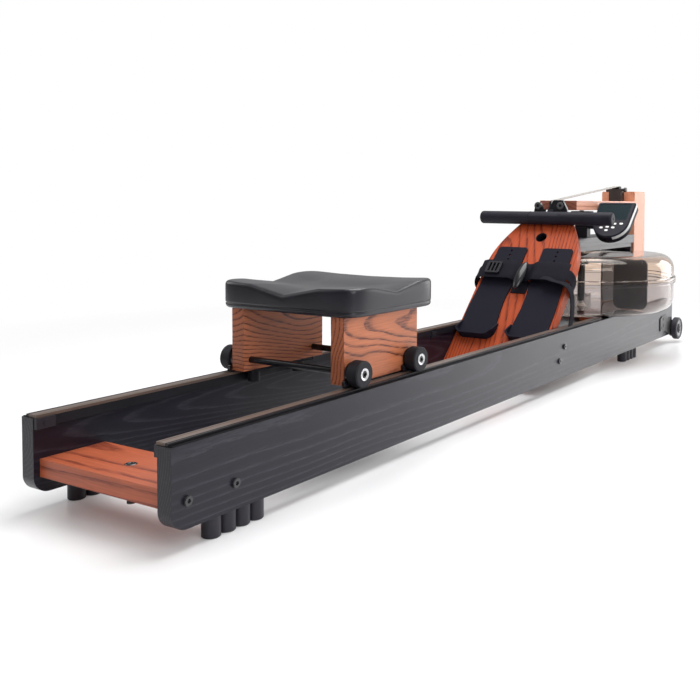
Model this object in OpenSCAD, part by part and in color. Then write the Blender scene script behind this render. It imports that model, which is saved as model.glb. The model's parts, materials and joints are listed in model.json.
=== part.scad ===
// Water rowing machine: two timber rails, rolling seat, foot board,
// clear water tank with a paddle, belt drive, handle and monitor.
// Millimetres. X across, Y from the seat end to the tank end, Z up.
// Lengths below are measured along Y from the rear end of the rails.

/* [Rails and boards] */
// Length of each side rail
rail_len = 2050; // [2046:1:2056]
// Thickness of the rail, board and beam timber
stock = 27; // [24:1:27]
// Clear width between the two side rails
rail_gap = 266; // [266:1:268]
// Underside of the rails above the floor
rail_z0 = 29.5; // [24:0.5:30]
// Height of a side rail
rail_h = 113; // [113:0.5:116]
// Radius of the lower end corners of a rail
rail_corner_r = 25; // [10:1:32]
// Depth of the rear cross board
rear_board_d = 108.4; // [90:0.2:112]
// Height of the end boards above the underside of the rails
end_board_rise = 24.5; // [17:0.5:26]

/* [Tracks and stops] */
// Width of a track cap
track_w = 23; // [22:0.5:24]
// Thickness of a track cap
track_t = 4.5; // [4:0.1:4.5]
// Gap from a track cap to the flat floor of the tank
track_end_gap = 8.4; // [8:0.2:20]
// Thickness of the skirt that hangs inside a rail
skirt_t = 4; // [3:0.1:4]
// Height of the skirt
skirt_h = 14.5; // [10:0.5:16]
// Length of a stop block
stop_len = 30; // [24:1:34]
// Distance from the front stops to the foot board
front_stop_set = 81.3; // [74:0.1:88]

/* [Feet and transport wheels] */
// Radius of one rubber foot
foot_r = 13.35; // [12:0.05:13.4]
// Pitch of the feet in a row
foot_pitch = 27; // [27:0.1:28]
// Radius of a transport wheel
transport_r = 36; // [30:1:36]
// Width of a transport wheel
transport_w = 20; // [14:1:20]
// Radius of a transport wheel axle
transport_axle_r = 5; // [4:0.1:6]

/* [Seat carriage] */
// Overlap of a seat panel over the track beside it
panel_lap = 1.2; // [0:0.1:1.3]
// Thickness of a seat panel
panel_t = 28.4; // [24:0.2:29]
// Length of a seat panel
panel_len = 215; // [212:1:224]
// Height of a seat panel
panel_h = 114.5; // [105:0.5:120]
// Rear edge of the seat panels
panel_y0 = 381; // [376:1:384]
// Distance of the rear axle from the rear end of the panels
rear_axle_set = 19; // [14:0.5:24]
// Distance of the front axle from the front end of the panels
front_axle_set = 27.5; // [20:0.5:34]
// Radius of a seat axle rod
axle_r = 6; // [5:0.1:6.5]
// Radius of a seat wheel
wheel_r = 22.9; // [21:0.1:23]
// Width of a seat wheel
wheel_w = 22.4; // [18:0.1:22.6]
// Radius of the metal ring in a seat wheel
wheel_ring_r = 10.8; // [9:0.1:12]
// Radius of a guide block under the seat
guide_r = 11; // [9:0.1:11]
// Half width of the seat pad
pad_half_w = 156; // [138:1:158]
// Length of the seat pad
pad_len = 256; // [240:1:258]
// Depth of the seat pad at its rim
pad_depth = 48; // [40:1:56]

/* [Foot board] */
// Slope of the foot board
board_slope = 47; // [46.6:0.1:47.2]
// Length of the foot board below its slope origin
board_foot = 49; // [44:0.5:50]
// Distance from the foot of the board to the tank flange
board_set = 264; // [262:0.5:268]
// Radius of the finger hole in the foot board
board_hole_r = 15.8; // [12:0.1:18]
// Thickness of a foot plate
foot_plate_t = 4; // [3:0.1:5]
// Height of a heel cup
heel_h = 24; // [18:1:26]
// Pitch of the setting holes in a foot plate
peg_pitch = 15.3; // [13:0.1:16]
// Width of the instep strap
strap_w = 50; // [44:1:52]
// Rise of the instep strap above the foot plates
strap_rise = 17; // [15:0.5:22]

/* [Tank and paddle] */
// Radius of the tank wall
tank_r = 274; // [270:0.5:275]
// Thickness of the tank wall
tank_wall = 4; // [3:0.1:4.5]
// Width of the tank flange beyond the wall
flange_out = 5.7; // [4:0.1:6.5]
// Gap between the tank flange and the front post
tank_gap = 15.3; // [12:0.1:18]
// Radius of the lower corner of the tank
tank_corner_r = 38; // [34:1:42]
// Radius of the tank shoulder
shoulder_r = 41; // [36:1:44]
// Radius of the paddle shaft
shaft_r = 8; // [7:0.1:9]
// Gap between the paddle blades and the tank wall
blade_gap = 45; // [42:1:60]
// Depth of a paddle blade along the radius
blade_len = 110; // [90:1:120]
// Clearance below the paddle blades
blade_floor_gap = 2.6; // [2:0.1:10]
// Corner radius of a paddle blade
blade_corner_r = 20; // [11:1:24]
// Thickness of a paddle blade
blade_t = 5; // [4:0.1:7]
// Radius of the belt drum flanges
drum_r = 34; // [30:1:36]
// Radius of the belt drum hub
drum_hub_r = 24; // [20:1:26]

/* [Beams and post] */
// Width of the beams and of the front post
beam_w = 115.6; // [110:0.2:118]
// Clear height between the lower and the top beam
beam_gap = 81; // [81:1:83]
// Gap between the tank top and the lower beam
low_beam_gap = 12.5; // [12:0.5:14]
// Rise of the front post above the top beam
post_rise = 32.5; // [26:0.5:33]
// Drop from the top beam to the top of the foot board
board_drop = 26.7; // [26.5:0.1:27]
// Depth of the front post
post_d = 99; // [90:1:99]

/* [Handle, belt and rollers] */
// Overall length of the handle
handle_len = 402; // [400:1:440]
// Radius of the handle grip
handle_r = 18; // [15:0.5:18]
// Width of the drive belt
belt_w = 22; // [18:0.5:24]
// Thickness of the drive belt
belt_t = 1.5; // [1.2:0.1:2]
// Radius of the rear roller
rear_roller_r = 9; // [8:0.1:9.5]
// Radius of the front roller
front_roller_r = 10; // [8:0.1:10.5]
// Radius of the roller axles
roller_axle_r = 3; // [2.5:0.1:3.5]

/* [Monitor] */
// Depth of the monitor case
case_t = 28; // [24:0.5:30]
// Half width of the monitor case at its top
case_half_w = 58.1; // [56:0.1:60]
// Radius of the lower half of the monitor case
case_r = 54.4; // [52:0.2:56]
// Height of the monitor case
case_h = 131.7; // [128:0.1:134]
// Radius of the monitor arm tube
arm_r = 8.5; // [7.5:0.1:9]

/* [Hidden] */
$fn = 48;
run_gap = 0.05;
seat_gap = 0.3;
rail_in = rail_gap / 2;
rail_out = rail_in + stock;
rail_top = rail_z0 + rail_h;
track_top = rail_top + track_t;
track_in = rail_in - skirt_t;
track_out = track_in + track_w;
transport_y = rail_len + 8;
transport_z = 47;
y_mid = (transport_y + transport_r) / 2;
axle_y1 = panel_y0 + rear_axle_set;
axle_y2 = panel_y0 + panel_len - front_axle_set;
axle_z = track_top + wheel_r + run_gap;
panel_out = track_in + panel_lap;
panel_in = panel_out - panel_t;
panel_z0 = axle_z - 19.5;
panel_top = panel_z0 + panel_h;
guard_in = panel_out + seat_gap;
guard_out = guard_in + 6;
wheel_in = guard_out + 0.8;
board_half = rail_in - seat_gap;
plate_n0 = seat_gap;
plate_n1 = plate_n0 + foot_plate_t;
tank_z0 = rail_top + 3.9;
flange_z = tank_z0 + 92.6;
flange_t = 8.7;
seal_t = 1;
tank_top_z = tank_z0 + 174.1;
tank_flange_r = tank_r + flange_out;
low_beam_z = tank_top_z + low_beam_gap;
low_beam_top = low_beam_z + stock;
top_beam_z = low_beam_top + beam_gap;
top_beam_top = top_beam_z + stock;
post_top = top_beam_top + post_rise;
post_y0 = rail_len + 5 - post_d;
tank_y = post_y0 - tank_gap - tank_flange_r;
track_end = tank_y - track_end_gap - sqrt(pow(tank_r - tank_corner_r, 2) - pow(track_in, 2));
track_len = track_end - 2;
board_y = tank_y - tank_flange_r - board_set;
board_z = rail_top - 61.7;
board_u0 = -board_foot;
board_u1 = (top_beam_z - board_drop - board_z) / sin(board_slope);
board_top_y = board_y + board_u1 * cos(board_slope);
board_top_z = board_z + board_u1 * sin(board_slope);
board_bolts = [[board_y + 79.7, board_z + 24.2], [board_y + 50.7, board_z - 7.8]];
front_stop_y = board_y - front_stop_set;
end_board_z = rail_z0 + end_board_rise;
rear_board_y = 9.6;
rear_bolts = [for (y = [15.4, rear_board_d - 9]) [rear_board_y + y, end_board_z + stock / 2]];
hook_y = rear_board_y + rear_board_d / 2 - 0.8;
beam_y0 = board_top_y + 61.7;
shaft_z0 = tank_z0 + tank_wall + seat_gap;
shaft_step = shaft_z0 + 8;
shaft_top = top_beam_z - 1.5;
drum_h = 38;
drum_z = top_beam_z - 4 - drum_h;
arm_z = tank_top_z - 30.5;
blade_reach = tank_r - tank_wall - blade_gap;
blade_top = tank_top_z - 17.5;
blade_h = blade_top - tank_z0 - tank_wall - blade_floor_gap;
rear_roller_y = beam_y0 - 12;
rear_roller_z = top_beam_top - rear_roller_r;
front_roller_y = post_y0 - 16;
front_roller_z = post_top + 5.5;
low_roller_z = top_beam_z - 28;
handle_u = -11.1;
handle_n = handle_r + 0.78;
handle_y = board_top_y + handle_u * cos(board_slope) - handle_n * sin(board_slope);
handle_z = board_top_z + handle_u * sin(board_slope) + handle_n * cos(board_slope);
case_tilt = 49;
case_x = beam_w / 2 + case_half_w + 2.4;
case_y = tank_y - 98.4;
case_z = low_beam_top + 5.6;
arm_v = 50;
arm_n = -14;
arm_y = case_y + arm_v * cos(case_tilt) - arm_n * sin(case_tilt);
arm_zc = case_z + arm_v * sin(case_tilt) + arm_n * cos(case_tilt);

// Shifts a rail position into the row frame, whose origin is below the middle
module place() { translate([0, -y_mid, 0]) children(); }

// Both sides of the machine
module both() {
  children();
  mirror([1, 0, 0]) children();
}

// Box between two corners
module block(x0, x1, y0, y1, z0, z1) {
  translate([x0, y0, z0]) cube([x1 - x0, y1 - y0, z1 - z0]);
}

// Cylinders along the three axes
module bar_x(r, x0, x1, y, z) {
  translate([x0, y, z]) rotate([0, 90, 0]) cylinder(r = r, h = x1 - x0);
}

module bar_y(r, y0, y1, x, z) {
  translate([x, y1, z]) rotate([90, 0, 0]) cylinder(r = r, h = y1 - y0);
}

module bar_z(r, z0, z1, x, y) {
  translate([x, y, z0]) cylinder(r = r, h = z1 - z0);
}

// Rounded rectangle from its lower left corner
module round_rect(w, h, r) {
  translate([r, 0]) square([w - 2 * r, h]);
  translate([0, r]) square([w, h - 2 * r]);
  for (x = [r, w - r], y = [r, h - r]) translate([x, y]) circle(r = r);
}

// Plate in the YZ plane between two X values
module plate_x(x0, x1) {
  translate([x0, 0, 0]) rotate([90, 0, 90]) linear_extrude(x1 - x0) children();
}

// Local frame on the front face of the foot board
module on_board() {
  translate([0, board_y, board_z]) rotate([board_slope, 0, 0]) children();
}

// Local frame on the monitor face
module on_case() {
  translate([0, case_y, case_z]) rotate([case_tilt, 0, 0]) children();
}

function arc_pts(cx, cy, r, a0, a1, n) =
  [for (i = [0:n]) let (a = a0 + (a1 - a0) * i / n) [cx + r * cos(a), cy + r * sin(a)]];

function bez(p, t) =
  pow(1 - t, 3) * p[0] + 3 * t * pow(1 - t, 2) * p[1] + 3 * t * t * (1 - t) * p[2]
  + pow(t, 3) * p[3];

// Side rails with rounded lower corners
module rail_shape() {
  plate_x(rail_in, rail_out) difference() {
    translate([0, rail_z0]) union() {
      translate([rail_corner_r, 0]) square([rail_len - 2 * rail_corner_r, rail_h]);
      translate([0, rail_corner_r]) square([rail_len, rail_h - rail_corner_r]);
      for (y = [rail_corner_r, rail_len - rail_corner_r])
        translate([y, rail_corner_r]) circle(r = rail_corner_r);
    }
    for (b = rail_bolt_spots) translate(b) circle(r = bolt_r + run_gap);
  }
}
bolt_r = 4;
rail_bolt_spots = concat(rear_bolts, board_bolts);

module rail_left() {
  color([0.08, 0.08, 0.09]) place() mirror([1, 0, 0]) rail_shape();
}

module rail_right() {
  color([0.08, 0.08, 0.09]) place() rail_shape();
}

// Track caps with two shallow grooves
module track_caps() {
  color([0.62, 0.5, 0.4]) place() both() difference() {
    union() {
      block(track_in, track_out, 2, 2 + track_len, rail_top, track_top);
    }
    for (x = [track_in + 4, track_in + 18])
      block(x, x + 1.4, 1, 3 + track_len, track_top - 1, track_top + 1);
  }
}

// Skirts that hang from the caps inside the rails
module track_skirts() {
  color([0.1, 0.1, 0.1]) place() both() difference() {
    block(track_in, rail_in, stop_len + 2, track_end, rail_top - skirt_h, rail_top);
    for (g = [[front_stop_y, front_stop_y + 20], [board_y + 36, board_y + 104]])
      block(track_in - 1, rail_in + 1, g[0] - seat_gap, g[1] + seat_gap, rail_top - skirt_h - 1, rail_top + 1);
  }
}

// End stops for the seat
module rear_stops() {
  color([0.07, 0.07, 0.07]) place() both() {
    block(track_in - 3, rail_in, 1, 1 + stop_len, rail_top - 16.5, rail_top);
    bar_x(4, track_in - 4.2, track_in - 3, 16, rail_top - 8);
  }
}

module front_stops() {
  color([0.07, 0.07, 0.07]) place() both() {
    block(track_in - 3, rail_in, front_stop_y, front_stop_y + 20, rail_top - 19.5, rail_top - 3.5);
    bar_x(4, track_in - 4.2, track_in - 3, front_stop_y + 10, rail_top - 11.5);
  }
}

// Rear cross board with its bolt hole
module rear_board() {
  color([0.6, 0.3, 0.2]) place() difference() {
    block(-rail_in, rail_in, rear_board_y, rear_board_y + rear_board_d, end_board_z, end_board_z + stock);
    bar_z(6, end_board_z - 1, end_board_z + stock + 1, 0, hook_y);
    bar_z(9, end_board_z + stock - 5, end_board_z + stock + 1, 0, hook_y);
    for (b = rear_bolts) both() bar_x(bolt_r + run_gap, rail_in - 40, rail_in + 1, b[0], b[1]);
  }
}

// Steel strap pin that hangs below the rear board
module rear_hook() {
  color([0.8, 0.8, 0.8]) place() {
    bar_z(5.9, end_board_z + 1, end_board_z + stock - 5, 0, hook_y);
    bar_z(8.6, end_board_z + stock - 5, end_board_z + stock - 1, 0, hook_y);
    bar_z(3, end_board_z - 27, end_board_z + 1, 0, hook_y);
    bar_z(6.5, end_board_z - 30, end_board_z - 27, 0, hook_y);
  }
}

// Hexagon socket bolts that hold the boards between the rails
module rail_bolts() {
  color([0.05, 0.05, 0.05]) place() both() for (b = rail_bolt_spots) difference() {
    union() {
      bar_x(bolt_r, rail_in - 36, rail_out + 1, b[0], b[1]);
      bar_x(7, rail_out, rail_out + 3.2, b[0], b[1]);
      bar_x(6.2, rail_out + 3.2, rail_out + 4, b[0], b[1]);
    }
    translate([rail_out + 1.4, b[0], b[1]]) rotate([0, 90, 0]) cylinder(r = 3.2, h = 4, $fn = 6);
  }
}

// Rows of rubber feet below the rails
module rubber_feet() {
  color([0.06, 0.06, 0.06]) place() both() for (y0 = [77.5, rail_len - 422], i = [0:3])
    translate([rail_in + stock / 2, y0 + i * foot_pitch, 0]) rotate_extrude() polygon([
      [0, 0], [foot_r - 1.5, 0], [foot_r, 1.5], [foot_r, rail_z0], [0, rail_z0]
    ]);
}

// Foot board outline: straight sides, then a curve in to the narrow top
function board_side(s) =
  let (h = board_half, u = board_u1, c = [[h, u - 166], [h, u - 106], [h - 27.7, u - 56], [h - 60.7, u]])
    [for (i = [0:14]) let (p = bez(c, i / 14)) [s * p[0], p[1]]];

module foot_board() {
  color([0.72, 0.33, 0.2]) place() difference() {
    on_board() translate([0, 0, -stock]) linear_extrude(stock) difference() {
      polygon(concat(
        [[-board_half, board_u0], [board_half, board_u0]], board_side(1),
        [for (i = [14:-1:0]) board_side(-1)[i]]
      ));
      translate([0, board_u1 - 65]) circle(r = board_hole_r);
    }
    both() block(track_in - seat_gap, rail_in + 1, board_y, board_y + 200, rail_top - seat_gap, track_top + seat_gap);
  }
}

// Batten behind the foot board that takes the rail bolts
module foot_board_batten() {
  color([0.5, 0.27, 0.18]) place() difference() {
    on_board() translate([0, 8, -stock - 30]) block(-rail_in, rail_in, 0, 86, 0, 30 - seat_gap);
    for (b = board_bolts)
      both() bar_x(bolt_r + run_gap, rail_in - 40, rail_in + 1, b[0], b[1]);
  }
}

// Tank shells: revolved walls with flanges that meet at the seal
module tank_lower() {
  ri = tank_r - tank_wall;
  cr = tank_corner_r;
  lo = flange_z - seal_t / 2;
  color([0.6, 0.52, 0.45, 0.4]) place() translate([0, tank_y, 0]) rotate_extrude($fn = 96) polygon(concat(
    [[0, tank_z0]],
    arc_pts(tank_r - cr, tank_z0 + cr, cr, -90, 0, 9),
    [[tank_r, lo - flange_t], [tank_flange_r, lo - flange_t + 2], [tank_flange_r, lo], [ri, lo]],
    [for (q = arc_pts(tank_r - cr, tank_z0 + cr, cr - tank_wall, 0, -90, 9)) q],
    [[0, tank_z0 + tank_wall]]
  ));
}

module tank_upper() {
  ri = tank_r - tank_wall;
  lo = flange_z + seal_t / 2;
  sz = tank_top_z - 8.5 - shoulder_r;
  slope = [[tank_r - 124, tank_top_z - 6.7], [tank_r - 174, tank_top_z - 4]];
  bore = 14 + run_gap;
  color([0.6, 0.52, 0.45, 0.4]) place() translate([0, tank_y, 0]) rotate_extrude($fn = 96) polygon(concat(
    [[ri, lo], [tank_flange_r, lo], [tank_flange_r, lo + flange_t - 2], [tank_r, lo + flange_t]],
    arc_pts(tank_r - shoulder_r, sz, shoulder_r, 0, 86, 10),
    slope,
    [[45, tank_top_z], [bore, tank_top_z], [bore, tank_top_z - tank_wall], [45, tank_top_z - tank_wall]],
    [for (i = [1, 0]) slope[i] - [0, tank_wall]],
    arc_pts(tank_r - shoulder_r, sz, shoulder_r - tank_wall, 86, 0, 10)
  ));
}

// Seal ring between the flanges
module tank_seal() {
  color([0.12, 0.1, 0.1]) place() translate([0, tank_y, flange_z - seal_t / 2 + 0.01])
    rotate_extrude($fn = 96) polygon([
      [tank_r - 2, 0], [tank_flange_r - 1.5, 0], [tank_flange_r - 1.5, seal_t - 0.02],
      [tank_r - 2, seal_t - 0.02]
    ]);
}

// Rubber pads that carry the tank on the rails
module tank_pads() {
  l = sqrt(pow(tank_r - tank_corner_r, 2) - pow(rail_out - 2, 2)) - 5.3;
  color([0.06, 0.06, 0.06]) place() both()
    block(rail_in + 2, rail_out - 2, tank_y - l, tank_y + l, rail_top, tank_z0 - run_gap);
}

// Bushes that carry the paddle shaft
module shaft_bush_lower() {
  color([0.85, 0.83, 0.78]) place() translate([0, tank_y, tank_z0 + tank_wall]) rotate_extrude() polygon([
    [4.5 + run_gap, 0], [15, 0], [15, 2], [12, 3], [12, 7.4], [4.5 + run_gap, 7.4]
  ]);
}

module shaft_bush_upper() {
  color([0.1, 0.1, 0.1]) place() translate([0, tank_y, 0]) rotate_extrude() polygon([
    [shaft_r + run_gap, tank_top_z - tank_wall - 2], [14, tank_top_z - tank_wall - 2],
    [14, low_beam_top], [17, low_beam_top + 0.2], [17, low_beam_top + 4], [13, low_beam_top + 12],
    [shaft_r + run_gap, low_beam_top + 12]
  ]);
}

// Lower beam from the foot board to the front post
module lower_beam() {
  w = beam_w / 2;
  color([0.1, 0.1, 0.11]) place() difference() {
    plate_x(-w, w) polygon([
      [board_back_y(low_beam_z), low_beam_z], [post_y0, low_beam_z], [post_y0, low_beam_top],
      [board_back_y(low_beam_top), low_beam_top]
    ]);
    bar_z(14 + run_gap, low_beam_z - 1, low_beam_top + 1, 0, tank_y);
  }
}

// Y of the back face of the foot board at a height
function board_back_y(z) = board_y + ((z - board_z) * sin(90 - board_slope) + stock + seat_gap) / sin(board_slope);

// Strip that holds the tank down, and the cleat at its front end
module tank_clamp() {
  w = beam_w / 2;
  color([0.07, 0.07, 0.07]) place() {
    difference() {
      block(-w + 6, w - 6, tank_y - 246, post_y0, tank_top_z + seat_gap, low_beam_z);
      bar_z(14 + run_gap, tank_top_z - 1, low_beam_z + 1, 0, tank_y);
    }
    block(-w + 6, w - 6, post_y0 - 14, post_y0, tank_top_z - 20.5, tank_top_z + seat_gap);
  }
}

// Top beam, with the slot where the belt passes down
module top_beam() {
  w = beam_w / 2;
  color([0.66, 0.36, 0.25]) place() difference() {
    block(-w, w, beam_y0, post_y0, top_beam_z, top_beam_top);
    block(-belt_w / 2 - 3, belt_w / 2 + 3, post_y0 - 12, post_y0 + 1, top_beam_z - 1, top_beam_top + 1);
    bar_z(shaft_r + 1, top_beam_z - 1, top_beam_z + 8, 0, tank_y);
  }
}

// Front post with rounded top corners
module front_post() {
  w = beam_w / 2;
  z0 = end_board_z + stock;
  color([0.7, 0.4, 0.3]) place() translate([0, post_y0 + post_d, 0]) rotate([90, 0, 0])
    linear_extrude(post_d) union() {
      translate([-w, z0]) square([2 * w, post_top - z0 - 5]);
      translate([-w + 5, z0]) square([2 * w - 10, post_top - z0]);
      for (x = [-w + 5, w - 5]) translate([x, post_top - 5]) circle(r = 5);
    }
}

module front_board() {
  color([0.6, 0.3, 0.2]) place()
    block(-rail_in, rail_in, rail_len - 100, rail_len, end_board_z, end_board_z + stock);
}

// Bracket and axle of the front roller, on the rear face of the post
module front_roller_bracket() {
  b = belt_w / 2 + 3.5;
  color([0.05, 0.05, 0.05]) place() {
    both() {
      block(b, b + 6, front_roller_y - 16, post_y0 - seat_gap, top_beam_top + seat_gap, front_roller_z + 3);
      bar_x(5, b + 6, b + 13, front_roller_y, front_roller_z);
      bar_x(7.5, b + 13, b + 20, front_roller_y, front_roller_z);
    }
    bar_x(roller_axle_r, -b - 1, b + 1, front_roller_y, front_roller_z);
    block(-b - 1, b + 1, front_roller_y - 16, front_roller_y - 12.5, top_beam_top + seat_gap, front_roller_z + 3);
  }
}

module front_roller() {
  color([0.3, 0.3, 0.3]) place() translate([-belt_w / 2 - 2.5, front_roller_y, front_roller_z])
    rotate([0, 90, 0]) spool(front_roller_r, belt_w + 5);
}

// Flat roller with small rims and an axle bore
module spool(r, w) {
  rotate_extrude() polygon([
    [roller_axle_r + run_gap, 0], [r + 1.5, 0], [r + 1.5, 1], [r, 2], [r, w - 2], [r + 1.5, w - 1],
    [r + 1.5, w], [roller_axle_r + run_gap, w]
  ]);
}

// Bracket and axle of the rear roller, on the end of the top beam
module rear_roller_bracket() {
  b = belt_w / 2 + 3.5;
  color([0.05, 0.05, 0.05]) place() {
    both() block(b, b + 3, rear_roller_y - 9, beam_y0 - seat_gap, top_beam_z - 6, top_beam_top - 3);
    block(-b - 1, b + 1, beam_y0 - 2.3 + 0.3, beam_y0 - seat_gap, top_beam_z - 6, top_beam_z + 8);
    bar_x(roller_axle_r, -b - 1, b + 1, rear_roller_y, rear_roller_z);
  }
}

module rear_roller() {
  color([0.3, 0.3, 0.3]) place() translate([-belt_w / 2 - 2.5, rear_roller_y, rear_roller_z])
    rotate([0, 90, 0]) spool(rear_roller_r, belt_w + 5);
}

// Bracket and axle of the roller that turns the belt to the drum
module lower_roller_bracket() {
  b = belt_w / 2 + 3.5;
  color([0.05, 0.05, 0.05]) place() {
    both() block(b, b + 4, front_roller_y - 12, post_y0 - seat_gap, low_roller_z - 14, low_roller_z + 14);
    block(-b - 1, b + 1, post_y0 - 3.2, post_y0 - seat_gap, low_roller_z - 14, low_roller_z + 14);
    bar_x(roller_axle_r, -b - 1, b + 1, front_roller_y, low_roller_z);
  }
}

module lower_roller() {
  color([0.3, 0.3, 0.3]) place() translate([-belt_w / 2 - 2.5, front_roller_y, low_roller_z])
    rotate([0, 90, 0]) spool(front_roller_r, belt_w + 5);
}

// Drive belt: along the top beam, over the front roller, down and back to the drum
module drive_belt() {
  g = seat_gap;
  h = belt_w / 2;
  rf = front_roller_r + g;
  rr = rear_roller_r + g;
  tilt = atan2(front_roller_z + rf - rear_roller_z - rr, front_roller_y - rear_roller_y);
  color([0.75, 0.72, 0.68]) place() {
    plate_x(-h, h) polygon(concat(
      arc_pts(rear_roller_y, rear_roller_z, rr, 190, 90 + tilt, 8),
      arc_pts(front_roller_y, front_roller_z, rf, 90 + tilt, 0, 8),
      arc_pts(front_roller_y, low_roller_z, rf, 0, -86, 8),
      arc_pts(front_roller_y, low_roller_z, rf + belt_t, -86, 0, 8),
      arc_pts(front_roller_y, front_roller_z, rf + belt_t, 0, 90 + tilt, 8),
      arc_pts(rear_roller_y, rear_roller_z, rr + belt_t, 90 + tilt, 190, 8)
    ));
  }
}

module belt_return() {
  color([0.75, 0.72, 0.68]) place() belt_twist(low_roller_z - front_roller_r - seat_gap - belt_t / 2);
}

// Quarter twist between the horizontal roller and the upright drum
module belt_twist(z0) {
  n = 16;
  x1 = -drum_hub_r - seat_gap - belt_t / 2;
  z1 = drum_z + drum_h / 2;
  pts = [
    for (i = [0:n])
      let (
        t = i / n, a = 90 * t, y = front_roller_y + (tank_y - front_roller_y) * t,
        x = x1 * t, z = z0 + (z1 - z0) * t, w = belt_w / 2, e = belt_t / 2
      )
        for (q = [[-w, -e], [w, -e], [w, e], [-w, e]])
          [x + q[0] * cos(a) - q[1] * sin(a), y, z + q[0] * sin(a) + q[1] * cos(a)]
  ];
  sides = [
    for (i = [0:n - 1], k = [0:3])
      let (a = 4 * i + k, b = 4 * i + (k + 1) % 4)
        each [[a, b, b + 4], [a, b + 4, a + 4]]
  ];
  polyhedron(
    points = pts,
    faces = concat([[3, 2, 1], [3, 1, 0]], sides, [[4 * n, 4 * n + 1, 4 * n + 2], [4 * n, 4 * n + 2, 4 * n + 3]])
  );
}

// Webbing between the handle and the rear roller
module pull_strap() {
  h = belt_w / 2;
  y0 = handle_y + handle_r + seat_gap;
  y1 = rear_roller_y - rear_roller_r - belt_t - 1;
  color([0.12, 0.12, 0.12]) place() plate_x(-h, h) polygon([
    [y0, handle_z + 3], [y1, rear_roller_z - 2], [y1, rear_roller_z - 2 + belt_t * 1.4],
    [y0, handle_z + 3 + belt_t * 1.4]
  ]);
}

// Height of the foot board's end face at a position
function rest_foot(y) = board_z + board_u1 * sin(board_slope) + seat_gap * 1.5
  - (y - board_y - board_u1 * cos(board_slope)) * tan(90 - board_slope);

// Rest on the end of the foot board, with two lobes and their bolts
module handle_rest() {
  y0 = board_top_y + 3.7;
  z0 = board_top_z + 0.7;
  color([0.06, 0.06, 0.06]) place() {
    translate([0, y0 + 8, 0]) rotate([90, 0, 0]) linear_extrude(8) difference() {
      union() {
        translate([0, z0]) polygon([[-50, 0], [58, 0], [55, 28], [43, 51], [40, 54], [14, 54], [11, 51],
          [0, 28], [-20, 28], [-27, 46], [-30, 48], [-38, 48], [-41, 46], [-46, 28]]);
      }
      translate([-belt_w / 2 - 2, z0 + 1]) square([belt_w + 4, 28]);
    }
    for (x = [[-42, -belt_w / 2 - 4], [belt_w / 2 + 4, 50]]) plate_x(x[0], x[1]) polygon([
      [y0, rest_foot(y0)], [y0 + 14, rest_foot(y0 + 14)], [y0 + 14, z0 - 3], [y0 + 8, z0 + 7], [y0, z0 + 7]
    ]);
    for (x = [-34, 35]) difference() {
      bar_y(10.5, y0 - 3, y0, x, z0 + 38);
      translate([x, y0 - 1.4, z0 + 38]) rotate([90, 0, 0]) cylinder(r = 4.2, h = 4, $fn = 6);
    }
  }
}

// Monitor arm: clamp block on the lower beam and the cross tube
module monitor_arm() {
  color([0.09, 0.09, 0.1]) place() {
    block(10, 48, arm_y - 17, arm_y + 8, low_beam_top, arm_zc - 4);
    bar_x(arm_r + 3, 18, 40, arm_y, arm_zc);
    bar_x(arm_r, 5, case_x - 40, arm_y, arm_zc);
  }
}

// Monitor outline on its face: half round below, sides that open a little to the top
module case_outline(inset) {
  w = case_half_w - inset - 7;
  h = case_h - inset - 7;
  translate([case_x, case_r]) circle(r = case_r - inset, $fn = 64);
  polygon(concat(
    [[case_x - case_r + inset, case_r]], arc_pts(case_x - w, h, 7, 180, 90, 4),
    arc_pts(case_x + w, h, 7, 90, 0, 4), [[case_x + case_r - inset, case_r]]
  ));
}

module monitor_case() {
  color([0.07, 0.07, 0.08]) place() on_case() difference() {
    union() {
      translate([0, 0, -case_t]) linear_extrude(case_t - 3) case_outline(0);
      translate([0, 0, -3.01]) linear_extrude(3.01) case_outline(2.5);
    }
    translate([0, 0, -2]) linear_extrude(4) polygon(screen_pts(0));
    for (k = key_spots) translate([k[0], k[1], -1.5]) linear_extrude(3) key_shape(run_gap);
    bar_x(arm_r + run_gap, 30, case_x - 39, arm_v, arm_n);
  }
}

function screen_pts(e) =
  let (xl = case_x - case_half_w, xr = case_x + case_half_w, lo = case_h - 67.7 + e, hi = case_h - 7.7 - e)
    [[xl + 7.5 + e, lo], [xr - 14 - e, lo], [xr - 12 - e, hi], [xl + 6 + e, hi]];
key_spots = [
  for (k = [[-25.1, 33.9], [-6.9, 37.1], [-7, 24.3], [11, 34.9], [13, 48.9], [32.7, 49.7]]) [case_x + k[0], k[1]]
];

module key_shape(e) {
  translate([-5 - e, -3 - e]) round_rect(10 + 2 * e, 6 + 2 * e, 2.9 + e);
}

module monitor_screen() {
  color([0.45, 0.52, 0.5]) place() on_case() translate([0, 0, -2]) linear_extrude(1.2) polygon(screen_pts(0.2));
}

module monitor_keys() {
  color([0.92, 0.92, 0.9]) place() on_case() for (k = key_spots)
    translate([k[0], k[1], -1.5]) linear_extrude(2.3) key_shape(0);
}

// Brackets and axles of the transport wheels
module transport_brackets() {
  color([0.05, 0.05, 0.05]) place() both() {
    plate_x(rail_out + seat_gap, rail_out + 3) union() {
      translate([transport_y, rail_z0]) polygon([[-133, 22.5], [-88, 18.5], [-24, transport_z - rail_z0 - 24],
        [0, transport_z - rail_z0 - 24], [17, transport_z - rail_z0], [0, transport_z - rail_z0 + 24],
        [-83, 68.5], [-118, 68.5], [-133, 60.5]]);
    }
    for (b = [[-102, 36.5], [-115, 30.5], [-104, 58.5]])
      bar_x(5, rail_out + 3, rail_out + 4, transport_y + b[0], rail_z0 + b[1]);
    bar_x(transport_axle_r, rail_out + 2, rail_out + 26, transport_y, transport_z);
    bar_x(9, rail_out + 24.6, rail_out + 27, transport_y, transport_z);
  }
}

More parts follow.
